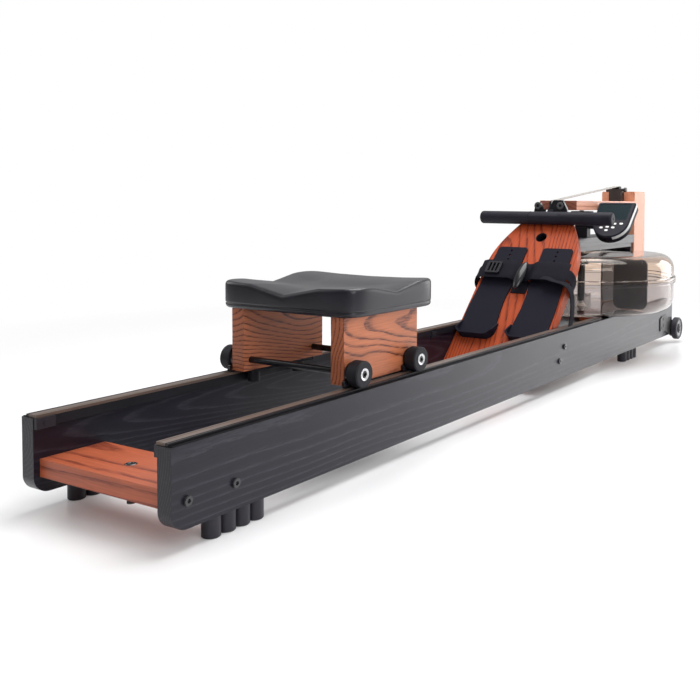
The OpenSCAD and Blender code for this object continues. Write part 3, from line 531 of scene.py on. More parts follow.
RED = dict(early=(0.5, 0.118, 0.05), late=(0.2, 0.036, 0.017), pore=(0.085, 0.018, 0.01))
DEEP_RED = dict(early=(0.43, 0.074, 0.025), late=(0.14, 0.02, 0.01), pore=(0.05, 0.009, 0.006))
PALE_RED = dict(early=(0.57, 0.185, 0.083), late=(0.125, 0.026, 0.013), pore=(0.07, 0.015, 0.009))
# The next two palettes are the red stain lightened: painted glare on the sides of the top beam and
# the post.
GLARE_LIT_RED = dict(early=(0.84, 0.42, 0.29), late=(0.44, 0.15, 0.09), pore=(0.2, 0.06, 0.03))
GLARE_LIT_PINK_RED = dict(early=(0.7, 0.33, 0.205), late=(0.5, 0.2, 0.12), pore=(0.3, 0.1, 0.06))
BLACK = dict(early=(0.0064, 0.006, 0.0135), late=(0.028, 0.027, 0.04), pore=(0.002, 0.002, 0.003))
RAIL_BLACK = {**BLACK, "rough": 0.34, "coat": 0.08, "relief": 0.35}

RAIL_FIGURED = Timber("rail_ash_figured", **RAIL_BLACK, heart=(0.105, 0.0, -0.088),
                      lean=(0.02, 0.0, 0.07), rings=50, wander=0.035, swirl=6.0, gloss=0.33)
RAIL_PLAIN = Timber("rail_ash_plain", **RAIL_BLACK, heart=(0.1, 0.0, -0.14),
                    lean=(0.012, 0.0, -0.006), rings=70, wander=0.02, stretch=0.2, line=0.6,
                    gloss=0.31)
BEAM_ASH = Timber("beam_ash", **BLACK, heart=(0.03, 0.0, -0.1), gloss=0.4)
BOARD_RED = Timber("end_board_red", **RED, grain=Grain.ACROSS, heart=(-0.96, 0, 0.03),
                   lean=(0.05, 0.0, 0.07), rings=24, wander=0.05, relief=0.3)
FOOT_RED = Timber("foot_board_red", **DEEP_RED, grain=Grain.SLOPED, heart=(0.03, 0.0, 0.05),
                  lean=(0.06, 0.0, -0.1), rings=36, relief=0.15, wander=0.1, gloss=0.12, coat=0.0)
PANEL_RED = Timber("seat_panel_red", **PALE_RED, heart=(0.06, 0.55, -0.19), lean=(0.16, 0.0, 0.1),
                   rings=38, relief=0.35, wander=0.085, swirl=8.0, stretch=0.42, line=1.0)
# The top beam's end faces are darkened hard (end=0.8): painted shade on the ends that face away
# from the light.
BEAM_RED = Timber("top_beam_red_painted_glare", **GLARE_LIT_RED, heart=(0.02, 0.0, -0.36), rings=30, end=0.8)
POST_RED = Timber("post_red_painted_glare", **GLARE_LIT_PINK_RED, grain=Grain.UPRIGHT, heart=(0.04, 0.0, -0.8), rings=30,
                  line=0.5)
MATT_BLACK = Moulding("matt_black", (0.009, 0.009, 0.013), rough=0.5)
SOFT_RUBBER = Moulding("soft_rubber", (0.01, 0.01, 0.014), rough=0.6, texture=700)
PAD_SKIN = Moulding("pad_skin", (0.0075, 0.007, 0.0125), rough=0.34, texture=1500, relief=0.05,
                    gloss=0.46)
GRIP_SKIN = Moulding("grip_skin", (0.0095, 0.0085, 0.0155), rough=0.55, texture=1100, relief=0.14,
                     gloss=0.2)
PLATE_SKIN = Moulding("plate_skin", (0.0088, 0.0082, 0.0155), rough=0.65, texture=1000,
                      relief=0.15, spread=0.12, gloss=0.1)
FOOT_RUBBER = Moulding("foot_rubber", (0.022, 0.02, 0.027), rough=0.5, texture=800, gloss=0.35)
GLOSS_BLACK = Moulding("gloss_black", (0.008, 0.008, 0.011), rough=0.25, texture=1300, relief=0.04,
                       coat=0.1, gloss=0.4)
PADDLE_SKIN = Moulding("paddle_skin", (0.03, 0.024, 0.03), rough=0.3, texture=2500, relief=0.0,
                       gloss=0.4)
LIP_BLACK = Moulding("lip_black", (0.0045, 0.004, 0.006), rough=0.5, texture=1200, gloss=0.08)
BOLT_BLACK = Moulding("bolt_black", (0.018, 0.018, 0.021), rough=0.22, texture=1600, relief=0.03,
                      gloss=0.7)
PALE_PLASTIC = Moulding("pale_plastic", (0.72, 0.7, 0.65), rough=0.4, spread=0.06)
KEY_WHITE = Moulding("key_white", (0.9, 0.9, 0.88), rough=0.4, spread=0.05)
SILVER_RIM = Moulding("silver_rim", (0.55, 0.56, 0.57), rough=0.3, spread=0.1, gloss=0.5)
BOLT_GREY = Moulding("bolt_grey", (0.07, 0.072, 0.075), rough=0.3, spread=0.1)
BLACK_STEEL = Moulding("black_steel", (0.01, 0.01, 0.012), rough=0.3, texture=1600, relief=0.06,
                       gloss=0.35)
DISC_GREY = Metal("disc_grey", (0.14, 0.14, 0.15), 0.35)
STEEL = Metal("turned_steel", (0.72, 0.72, 0.73), 0.28)
ALLOY = Metal("wheel_ring_alloy", (0.62, 0.62, 0.64), 0.28, scratch=(1, 4, 4))
STRAP_WEB = Webbing("strap_web", (0.009, 0.0085, 0.0155), turn=(-BOARD_SLOPE, 0, 0))
BELT_WEB = Webbing("belt_web", (0.5, 0.47, 0.44), ribs=520, rough=0.6)
TRACK_SKIN = TrackStrip()
DOME_CLEAR = TintedShell()
# The lower shell takes a darker, greyer tint than the dome: painted shade and painted reflection
# of the dark parts below.
BOWL_CLEAR_SHADED = TintedShell("tinted_bowl_painted_shade", (0.7, 0.655, 0.64))


@dataclass(frozen=True)
class Turning:
    """A small turned piece: its profile of (radius, height) and how it is rounded and finished."""

    profile: Sequence[Pair]
    rounding: float
    finish: object
    slot: str
    flats: int = 48


HUB_RING = Turning([(10.5, 0), (14, 0), (14, 2.2), (12.5, 2.8), (10.5, 2.0)], 0.5, DISC_GREY,
                   "steel")
HUB_DISC = Turning([(15.2, -2.7), (26.4, -2.7), (26.4, -0.5), (24.2, -0.1), (22.6, -1.4),
                    (15.2, -1.6)], 0.4, DISC_GREY, "steel", 64)
HOOK_TIP = Turning([(3.1, 0.0), (5.2, 0.0), (5.2, 18.0), (3.1, 18.0)], 0.8, STEEL, "steel", 32)
BOARD_SCREW = Turning([(3.6, -1.0), (8.7, -1.0), (8.7, 0.5), (7.4, 1.5), (4.6, 1.5), (3.6, 0.6)],
                      0.5, BOLT_BLACK, "black_steel")
REST_BOLT = Turning([(4.4, -0.3), (10.6, -0.3), (10.6, 0.4), (9.2, 1.2), (5.2, 1.0), (4.4, 0.4)],
                    0.3, BOLT_GREY, "black_steel", 40)
WHEEL_RING = Turning([(6.2, -0.6), (10.6, -0.6), (10.6, 1.2), (9.6, 1.9), (7.0, 1.2), (6.2, 0.6)],
                     0.4, ALLOY, "steel", 64)
WHEEL_SCREW = Turning([(3.2, -0.4), (6.1, -0.4), (6.1, 1.0), (5.0, 1.5), (3.4, 1.5), (3.2, 0.6)],
                      0.3, BLACK_STEEL, "black_steel")
# A thin matt black sleeve on the walls of the foot board's finger hole: painted shade inside the
# hole.
HOLE_SHADE_SLEEVE = Turning([(14.9, -26.6), (15.7, -26.6), (15.7, -1.2), (14.9, -1.6)], 0.2, MATT_BLACK,
                     "black_plastic", 64)
SHAFT_SLEEVE = Turning([(8.1, 166), (11.0, 166), (11.0, 279), (9.6, 281), (8.1, 281)], 0.6,
                       MATT_BLACK, "black_plastic")
GRIP_SEAM = Turning([(17.40, -1.6), (18.50, -1.0), (18.50, 1.0), (17.40, 1.6)], 0.3, GRIP_SKIN,
                    "rubber", 64)


def skin(name: str, rows: Sequence[Sequence[Vector]], closed_path: bool = False,
              sharp: float = 35.0) -> Piece:
    """Joins rings of points into one skin.

    Args:
        name: The piece's name.
        rows: Rings with the same number of points.
        closed_path: Whether the last ring meets the first. If not, faces close both ends.
        sharp: Edges that bend more than this, in degrees, stay sharp.
    Returns:
        The new object.
    """
    bm = bmesh.new()
    grid = [[bm.verts.new(p) for p in row] for row in rows]
    count = len(rows[0])
    for i in range(len(rows) - (0 if closed_path else 1)):
        a, b = grid[i], grid[(i + 1) % len(rows)]
        for j in range(count):
            k = (j + 1) % count
            bm.faces.new((a[j], a[k], b[k], b[j]))
    if not closed_path:
        bm.faces.new(list(reversed(grid[0])))
        bm.faces.new(grid[-1])
    bmesh.ops.remove_doubles(bm, verts=bm.verts, dist=1e-6)
    return linked(name, bm, sharp)


def linked(name: str, bm: bmesh.types.BMesh, sharp: float = 35.0) -> Piece:
    """Smooths the skin, keeps its sharp edges and links the object.

    Args:
        name: The piece's name.
        bm: The skin, which is used up.
        sharp: Edges that bend more than this, in degrees, stay sharp.
    Returns:
        The new object.
    """
    bmesh.ops.recalc_face_normals(bm, faces=bm.faces)
    for face in bm.faces:
        face.smooth = True
    for edge in bm.edges:
        if len(edge.link_faces) == 2:
            edge.smooth = edge.calc_face_angle(0.0) < math.radians(sharp)
    mesh = bpy.data.meshes.new(name)
    bm.to_mesh(mesh)
    bm.free()
    obj = bpy.data.objects.new(name, mesh)
    bpy.context.scene.collection.objects.link(obj)
    return obj


def lathe(name: str, profile: Sequence[Pair], frame: Matrix, flats: int) -> Piece:
    """Revolves a closed profile of (radius, height) about local Z.

    Args:
        name: The piece's name.
        profile: The closed profile.
        frame: Where local Z stands in the row frame.
        flats: Number of flats round the turn.
    Returns:
        The new object.
    """
    least = 0.01
    rows = []
    for i in range(flats):
        a = math.tau * i / flats
        rows.append([frame @ Vector((max(r, least) * MM * math.cos(a),
                                     max(r, least) * MM * math.sin(a), h * MM))
                     for r, h in profile])
    return skin(name, rows, closed_path=True, sharp=28.0)


def rounded(points: Sequence[Pair], radius: float, steps: int = 4) -> list[Pair]:
    """Rounds each corner of a closed profile.

    Args:
        points: The corners.
        radius: The rounding, at most a third of each side.
        steps: Flats in each corner.
    Returns:
        The rounded profile.
    """
    out: list[Pair] = []
    for i, p in enumerate(points):
        here = Vector(p)
        back, ahead = Vector(points[i - 1]) - here, Vector(points[(i + 1) % len(points)]) - here
        r = min(radius, back.length / 3, ahead.length / 3)
        a, b = here + back.normalized() * r, here + ahead.normalized() * r
        for k in range(steps + 1):
            t = k / steps
            q = a * (1 - t) ** 2 + here * 2 * t * (1 - t) + b * t * t
            out.append((q.x, q.y))
    return out


def arc(centre: Pair, r: float, start: float, end: float, steps: int = 14) -> list[Pair]:
    """Gives the points of an arc from one angle to another, in degrees."""
    turn = [math.radians(start + (end - start) * i / steps) for i in range(steps + 1)]
    return [(centre[0] + r * math.cos(a), centre[1] + r * math.sin(a)) for a in turn]


def curve(points: Sequence[Vector], steps: int = 6) -> list[Vector]:
    """Runs a smooth curve through the points.

    Args:
        points: The places to pass.
        steps: Steps between two places.
    Returns:
        The curve's points.
    """
    out: list[Vector] = []
    for i in range(len(points) - 1):
        p0, p1 = points[max(i - 1, 0)], points[i]
        p2, p3 = points[i + 1], points[min(i + 2, len(points) - 1)]
        for k in range(steps):
            t = k / steps
            out.append(0.5 * (2 * p1 + (p2 - p0) * t + (2 * p0 - 5 * p1 + 4 * p2 - p3) * t * t
                              + (3 * p1 - p0 - 3 * p2 + p3) * t ** 3))
    out.append(points[-1])
    return out


def strip(name: str, path: Sequence[Vector], across: Callable[[float], Vector], width: float,
          thick: float) -> Piece:
    """Sweeps a strap section along a path.

    Args:
        name: The piece's name.
        path: The strap's middle line.
        across: The direction of its width at a share of its length.
        width: Its width.
        thick: Its thickness.
    Returns:
        The new object.
    """
    rows = []
    w, t = width * MM / 2, thick * MM / 2
    upper = [(-w, 0), (-w + t * 0.4, t * 0.75), (-w + t, t), (-w * 0.4, t), (w * 0.4, t),
             (w - t, t), (w - t * 0.4, t * 0.75)]
    section = upper + [(-a, -b) for a, b in upper]
    for i, p in enumerate(path):
        ahead = (path[min(i + 1, len(path) - 1)] - path[max(i - 1, 0)]).normalized()
        side = across(i / (len(path) - 1))
        side = (side - ahead * side.dot(ahead)).normalized()
        up = ahead.cross(side)
        rows.append([p + side * a + up * b for a, b in section])
    return skin(name, rows, sharp=60.0)


def shading_group() -> bpy.types.NodeTree:
    """Makes, once, the modifier that shades faces smooth and keeps strong bends sharp.

    Returns:
        The node group.
    """
    tree = bpy.data.node_groups.get("smooth_faces")
    if tree:
        return tree
    tree = bpy.data.node_groups.new("smooth_faces", "GeometryNodeTree")
    for way in ("INPUT", "OUTPUT"):
        tree.interface.new_socket("Geometry", in_out=way, socket_type="NodeSocketGeometry")
    g = Nodes(tree)
    start = g.add("NodeGroupInput").outputs[0]
    faces = g.add("GeometryNodeSetShadeSmooth", {"Geometry": start}, domain="FACE").outputs[0]
    bend = g.add("GeometryNodeInputMeshEdgeAngle").outputs["Unsigned Angle"]
    strong = g.add("FunctionNodeCompare", {0: bend, 1: SHARP_BEND}, data_type="FLOAT",
                   operation="GREATER_THAN").outputs[0]
    edges = g.add("GeometryNodeSetShadeSmooth",
                  {"Geometry": faces, "Selection": strong, "Shade Smooth": False}, domain="EDGE")
    g.add("NodeGroupOutput", {0: edges.outputs[0]})
    return tree


def soften(obj: Piece, edge: Edge) -> None:
    """Eases a CAD node's edges and smooths its round faces, with modifiers only.

    Args:
        obj: The node's object.
        edge: How far its edges are eased.
    """
    stack = {
        "weld": ("WELD", {"merge_threshold": WELD_GAP}),
        "flat": ("DECIMATE", {"decimate_type": "DISSOLVE", "angle_limit": FLAT_BEND}),
        "ease": ("BEVEL", {"width": edge.value, "segments": 2, "limit_method": "ANGLE",
                           "angle_limit": EASED_BEND, "use_clamp_overlap": True}),
        "shade": ("NODES", {"node_group": shading_group()}),
        "even": ("WEIGHTED_NORMAL", {"keep_sharp": True, "weight": 80})}
    for name, (kind, settings) in stack.items():
        modifier = obj.modifiers.new(name, kind)
        for key, value in settings.items():
            setattr(modifier, key, value)


@dataclass
class Assembly:
    """Base of the sub-assemblies: dresses CAD nodes and adds its own pieces."""

    frame: dict

    def paint(self, obj: Piece, finish: object) -> None:
        """Gives an object one finish.

        Args:
            obj: The object.
            finish: Its finish, whose material is made once.
        """
        material = bpy.data.materials.get(finish.name) or finish.material()
        if obj.material_slots:
            for slot in obj.material_slots:
                slot.material = material
        else:
            obj.data.materials.append(material)

    def dress(self, finish: object, edge: Edge, *nodes: str) -> None:
        """Dresses CAD nodes in one finish.

        Args:
            finish: The finish.
            edge: How far the edges are eased.
            nodes: The nodes' names.
        """
        for node in nodes:
            obj = self.frame["nodes"][node]
            self.paint(obj, finish)
            soften(obj, edge)
            LOG.info("dressed %s with %s", node, finish.name)

    def add(self, obj: Piece, finish: object, body: str, slot: str,
            replaces: Sequence[str] = ()) -> None:
        """Finishes one new piece and joins it to its body.

        Args:
            obj: The piece.
            finish: Its finish.
            body: The CAD body it rides on.
            slot: The record's material slot; not used.
            replaces: CAD nodes it stands for.
        """
        self.paint(obj, finish)
        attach(obj, body)
        if replaces:
            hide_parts(*replaces)
        LOG.info("built %s on %s", obj.name, body)

    def turned(self, name: str, kind: Turning, body: str, frame: Matrix) -> None:
        """Adds one small turned piece."""
        profile = rounded(kind.profile, kind.rounding)
        self.add(lathe(name, profile, frame, kind.flats), kind.finish, body, kind.slot)

    def strap(self, name: str, path: Sequence[Vector], across: Callable[[float], Vector],
              width: float, thick: float = 2.2, replaces: Sequence[str] = ()) -> None:
        """Adds one black strap to the frame."""
        strap = strip(name, path, across, width, thick)
        self.add(strap, STRAP_WEB, "frame", "webbing", replaces)


@dataclass
class Chassis(Assembly):
    """Rails, tracks, boards, feet and bolts."""

    timber: dict[str, Timber] = field(default_factory=lambda: {
        "rail_left": RAIL_FIGURED, "rail_right": RAIL_PLAIN, "rear_board": BOARD_RED,
        "front_board": BOARD_RED, "lower_beam": BEAM_ASH, "tank_clamp": BEAM_ASH,
        "top_beam": BEAM_RED, "front_post": POST_RED, "foot_board": FOOT_RED,
        "foot_board_batten": BOARD_RED})
    trim: dict[str, object] = field(default_factory=lambda: {
        "track_caps": TRACK_SKIN, "track_skirts": MATT_BLACK, "rear_stops": FOOT_RUBBER,
        "front_stops": SOFT_RUBBER, "rear_hook": BLACK_STEEL, "rail_bolts": BOLT_BLACK,
        "rubber_feet": FOOT_RUBBER, "transport_brackets": BLACK_STEEL,
        "transport_wheel_left": FOOT_RUBBER, "transport_wheel_right": FOOT_RUBBER,
        "tank_pads": SOFT_RUBBER, "handle_rest": GLOSS_BLACK})
    lip: Pair = (156.15, 142.95)  # the middle of the ledge outside the track, as x and z
    lip_run: range = range(2, 1391, 28)
    lip_w: float = 7.5
    lip_t: float = 0.9
    hub: Triple = (183.4, 2058, 47)
    hook_tip: Triple = (-9, 63, 33)
    screw: Triple = (0, 62.8, 80.3)
    rest_bolts: tuple[Triple, Triple] = ((-34, 1429, 453), (35, 1429, 453))

    def build(self) -> None:
        """Dresses the chassis and adds its dark ledges, hub faces and screw heads."""
        for node, finish in self.timber.items():
            self.dress(finish, Edge.ROUNDED, node)
        for node, finish in self.trim.items():
            self.dress(finish, Edge.CRISP, node)
        x, z = self.lip
        hub_x, hub_y, hub_z = self.hub
        for side, sign in SIDES:
            ledge = strip(f"rail_lip_{side}", [at(sign * x, y, z) for y in self.lip_run],
                          sideways, self.lip_w, self.lip_t)
            self.add(ledge, LIP_BLACK, "frame", "black_plastic")
            outward = stand(at(sign * hub_x, hub_y, hub_z), "Y", sign * QUARTER_TURN)
            self.turned(f"transport_hub_{side}", HUB_RING, f"transport_wheel_{side}", outward)
            self.turned(f"transport_disc_{side}", HUB_DISC, f"transport_wheel_{side}", outward)
        self.turned("hook_tip", HOOK_TIP, "frame", stand(at(*self.hook_tip), "Y", QUARTER_TURN))
        self.turned("board_screw", BOARD_SCREW, "frame", stand(at(*self.screw)))
        for (side, _sign), spot in zip(SIDES, self.rest_bolts):
            self.turned(f"rest_bolt_{side}", REST_BOLT, "frame",
                        stand(at(*spot), "X", QUARTER_TURN))


@dataclass
class SeatCarriage(Assembly):
    """Seat panels, pad, axles and wheels."""

    half_w: float = 156.0
    length: float = 256.0
    depth: float = 48.0
    centre_y: float = 499.0
    base_z: float = 0.0  # taken from the CAD pad
    around: int = 160
    square: float = 0.2  # the outline's exponent: the smaller, the squarer
    axles: tuple[tuple[str, float], ...] = (("rear", 400.0), ("front", 568.5))
    wheel_x: float = 158.6
    wheel_z: float = 169.95
    top: Sequence[float] = (0.001, *(0.08 * i for i in range(1, 12)), 0.92, 0.95)
    rim: Sequence[Pair] = ((0.968, -0.5), (0.982, -1.6), (0.992, -3.4), (0.998, -6.0), (1.0, -9.0))
    foot: Sequence[Pair] = (
        (1.0, 13.0), (0.998, 11.0), (0.991, 10.2), (0.991, 9.4), (0.998, 8.6), (0.997, 6.0),
        (0.99, 3.0), (0.975, 1.0), (0.95, 0.2), (0.8, 0.0), (0.4, 0.0), (0.001, 0.0))

    def build(self) -> None:
        """Dresses the carriage and builds the pad and the wheel rings."""
        self.dress(PANEL_RED, Edge.ROUNDED, "seat_panel_left", "seat_panel_right")
        self.dress(GLOSS_BLACK, Edge.CRISP, "seat_axles", "slide_plates", "wheel_guards")
        self.dress(MATT_BLACK, Edge.CRISP, "guide_blocks")
        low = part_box("seat_pad")[0]
        self.base_z = low[2] / MM
        pad = self.pad()
        self.add(pad, PAD_SKIN, "seat", "pad", ["seat_pad"])
        for end, y in self.axles:
            for side, sign in SIDES:
                wheel = f"{end}_{side}"
                self.dress(SOFT_RUBBER, Edge.CRISP, f"seat_wheel_{wheel}")
                hub = stand(at(sign * self.wheel_x, y, self.wheel_z), "Y", sign * QUARTER_TURN)
                self.turned(f"wheel_ring_{wheel}", WHEEL_RING, f"wheel_{wheel}", hub)
                self.turned(f"wheel_screw_{wheel}", WHEEL_SCREW, f"wheel_{wheel}", hub)

    def edge(self, angle: float, share: float) -> Pair:
        """Gives a point of the pad's rounded outline, drawn in by a share.

        Args:
            angle: The way to the point from the pad's middle.
            share: How far out it lies, with 1 on the outline.
        Returns:
            Its x and y from the pad's middle.
        """
        c, s = math.cos(angle), math.sin(angle)
        x = share * self.half_w * math.copysign(abs(c) ** self.square, c)
        y = share * self.length / 2 * math.copysign(abs(s) ** self.square, s)
        return x, y

    @staticmethod
    def bell(offset: float, width: float) -> float:
        """Gives a bell curve's height at an offset from its middle."""
        return math.exp(-offset * offset / (width * width))

    def rise(self, x: float, y: float) -> float:
        """Gives the height of the pad's top.

        Args:
            x: Across the pad, from its middle.
            y: Along the pad, from its middle.
        Returns:
            The height above the pad's base.
        """
        bell = self.bell
        u, v = x / self.half_w, y / (self.length / 2)
        wings = 5 * u * u
        notch = 15 * bell(u, 0.17) * max(0.0, -v) ** 1.5
        dish = 9 * bell(u, 0.75) * bell(v + 0.1, 0.45)
        waist = 13 * abs(u) ** 3 * bell(v - 0.02, 0.36)
        legs = 3 * bell(u - 0.5 * math.copysign(1, u), 0.25) * bell(v - 0.1, 0.5)
        front = 2 * max(0.0, v)
        return self.depth - 2 + wings - notch - dish - waist - legs + front

    def spot(self, angle: float, share: float, z: float) -> Vector:
        """Places a point of the pad in the row frame."""
        x, y = self.edge(angle, share)
        return at(x, y + self.centre_y, z + self.base_z)

    def pad(self) -> Piece:
        """Builds the moulded pad, with its rounded rim and the lip round its base.

        Returns:
            The pad.
        """
        angles = [math.tau * i / self.around for i in range(self.around)]
        rows = [[self.spot(a, share, self.rise(*self.edge(a, share))) for a in angles]
                for share in self.top]
        rows += [[self.spot(a, share, self.rise(*self.edge(a, 1)) + drop) for a in angles]
                 for share, drop in self.rim]
        rows += [[self.spot(a, share, height) for a in angles] for share, height in self.foot]
        return skin("moulded_pad", rows, sharp=80.0)


@dataclass
class FootRest(Assembly):
    """Foot plates, instep strap, toggle and buckle. Board places are (x, up the slope, off it)."""

    low_edge: Pair = (1117.3, 80.8)  # y and z where the board's face begins
    band_w: float = 60.0
    band_t: float = 2.4
    band_u: float = 257.0
    band_run: range = range(-130, 131, 4)
    rise: float = 21.0  # the strap's height over the feet
    dip: float = 9.0  # its height at the board's middle
    dip_half: float = 12.0
    ramp: float = 26.0
    brink: float = 108.0  # where the strap begins to fall to the board's side
    fall: Pair = (6.0, 22.0)
    loop: Sequence[Triple] = (
        (122, 254, 17.5), (131, 253, 15), (139, 248, 8), (143.5, 240, -3), (143, 233, -15),
        (137, 228, -26), (128, 226, -30.0), (116, 226, -30.0))
    tail: Sequence[Triple] = (
        (66, 1258, 268), (84, 1255, 267.5), (104, 1253, 262.5), (126, 1252.5, 258),
        (142.5, 1252.5, 249), (152.2, 1252.5, 232.5), (155.2, 1252.5, 205), (154.2, 1252.5, 175),
        (150.2, 1252.5, 149.5))
    loop_w: float = 30.0
    tail_w: float = 25.0
    bridge: Triple = (214.0, 1.7, 40.0)  # how far up the board, how far off it, and its width
    bridge_run: range = range(-22, 23, 4)
    finger_hole_u: float = 391.0

    def board(self, x: float, u: float, n: float) -> Vector:
        """Places a point by its distance up the board and off its face."""
        c, s = math.cos(BOARD_SLOPE), math.sin(BOARD_SLOPE)
        return at(x, self.low_edge[0] + u * c - n * s, self.low_edge[1] + u * s + n * c)

    def arch(self, x: float) -> float:
        """Gives the instep strap's height off the board.

        Args:
            x: Across the board, from its middle.
        Returns:
            The height.
        """
        a = abs(x)
        if a < self.dip_half:
            return self.dip
        if a < self.dip_half + self.ramp:
            share = (1 - math.cos(math.pi * (a - self.dip_half) / self.ramp)) / 2
            return self.dip + (self.rise - self.dip) * share
        if a < self.brink:
            return self.rise
        return self.rise - self.fall[0] * ((a - self.brink) / self.fall[1]) ** 2

    def build(self) -> None:
        """Dresses the foot plates and builds the webbing."""
        self.dress(PLATE_SKIN, Edge.EASED, "foot_plate_left", "foot_plate_right")
        self.add(self.toggle(), GLOSS_BLACK, "frame", "black_plastic", ["strap_toggle"])
        self.dress(MATT_BLACK, Edge.EASED, "strap_buckle")
        upward = Vector((0, math.cos(BOARD_SLOPE), math.sin(BOARD_SLOPE)))
        line = [self.board(x, self.band_u, self.arch(x) + self.band_t / 2) for x in self.band_run]
        self.strap("instep_band", line, lambda t: upward, self.band_w, self.band_t,
                   ["instep_strap"])
        for side, sign in SIDES:
            loop = curve([self.board(sign * x, u, n) for x, u, n in self.loop])
            self.strap(f"side_loop_{side}", loop, lambda t: upward, self.loop_w, self.band_t)
        # The black sleeve in the finger hole is painted shade.
        self.turned("hole_shade_sleeve", HOLE_SHADE_SLEEVE, "frame",
                    stand(self.board(0, self.finger_hole_u, 0), "X", BOARD_SLOPE))
        u, n, width = self.bridge
        bridge = [self.board(x, u, n) for x in self.bridge_run]
        self.strap("strap_bridge", bridge, lambda t: upward, width)
        tail = curve([at(*spot) for spot in self.tail])
        self.strap("strap_tail", tail, lambda t: Vector((0, 1, 0.35 * (1 - t))), self.tail_w)

    def toggle(self) -> Piece:
        """Builds the moulded toggle, a long rounded body that stands off the strap.

        Returns:
            The toggle.
        """
        steps, flats = 24, 28
        half_w, half_h, foot_u, length, height, lean = 15.5, 11.5, 193, 86, 24.5, 3.0
        rows = []
        for i in range(steps + 1):
            t = i / steps
            bulge = math.sin(math.pi * (0.04 + 0.92 * t)) ** 0.5
            w, h = half_w * bulge * (1 - 0.12 * t), half_h * bulge
            x = 2 + (lean * t - lean / 2)
            rows.append([self.board(x + w * math.cos(a), foot_u + length * t,
                                    height + h * math.sin(a))
                         for a in (math.tau * k / flats for k in range(flats))])
        return skin("moulded_toggle", rows, sharp=80.0)


@dataclass
class Tank(Assembly):
    """Tank shells, paddle, shaft and drum. Profiles are (radius, z)."""

    centre_y: float = 1661.0
    flange_r: float = 279.7
    wall_r: float = 274.0
    wall: float = 4.0
    base_z: float = 146.4
    base_r: float = 38.0  # rounding of the bowl's lower corner
    seam_z: float = 239.0
    half_gap: float = 0.5
    shoulder_z: float = 312.0
    shoulder: float = 41.0
    flats: int = 192
    dome: Sequence[Pair] = (
        (200, 312.9), (150, 313.8), (100, 316.5), (60, 319.2), (45, 320.5), (14.2, 320.5))

    def flange(self, z: float, sign: int) -> list[Pair]:
        """Gives a flange's profile from the wall out to the seam, above or below it."""
        return [(self.wall_r, z + sign * 9.5), (self.wall_r + 1, z + sign * 8.3),
                (self.flange_r - 1, z + sign * 7.7), (self.flange_r - 0.2, z + sign * 6.8),
                (self.flange_r - 0.1, z)]

    def bowl(self) -> list[Pair]:
        """Gives the lower shell's profile.

        Returns:
            The closed profile.
        """
        seam = self.seam_z - self.half_gap
        corner = (self.wall_r - self.base_r, self.base_z + self.base_r)
        return ([(0, self.base_z)] + arc(corner, self.base_r, -90, 0)
                + self.flange(seam, -1) + [(self.wall_r - self.wall, seam)]
                + arc(corner, self.base_r - self.wall, 0, -90)
                + [(0, self.base_z + self.wall)])

    def cover(self) -> list[Pair]:
        """Gives the upper shell's profile, from the seam over the shoulder to the shaft.

        Returns:
            The closed profile.
        """
        seam = self.seam_z + self.half_gap
        corner = (self.wall_r - self.shoulder, self.shoulder_z - self.shoulder)
        return ([(self.wall_r - self.wall, seam)] + self.flange(seam, 1)[::-1]
                + arc(corner, self.shoulder, 0, 87) + list(self.dome)
                + [(r, z - self.wall) for r, z in reversed(self.dome)]
                + arc(corner, self.shoulder - self.wall, 87, 0))

    def build(self) -> None:
        """Builds the clear shells and dresses what is inside and round them."""
        axis = stand(at(0, self.centre_y, 0))
        bowl = lathe("tank_bowl", self.bowl(), axis, self.flats)
        self.add(bowl, BOWL_CLEAR_SHADED, "frame", "tank", ["tank_lower"])
        dome = lathe("tank_dome", self.cover(), axis, self.flats)
        self.add(dome, DOME_CLEAR, "frame", "tank", ["tank_upper"])
        self.dress(PALE_PLASTIC, Edge.CRISP, "shaft_bush_lower")
        self.dress(STEEL, Edge.CRISP, "paddle_shaft")
        self.turned("shaft_sleeve", SHAFT_SLEEVE, "paddle", axis)
        self.dress(PADDLE_SKIN, Edge.EASED, "paddle_blades")
        self.dress(MATT_BLACK, Edge.CRISP, "tank_seal", "shaft_bush_upper", "belt_drum")


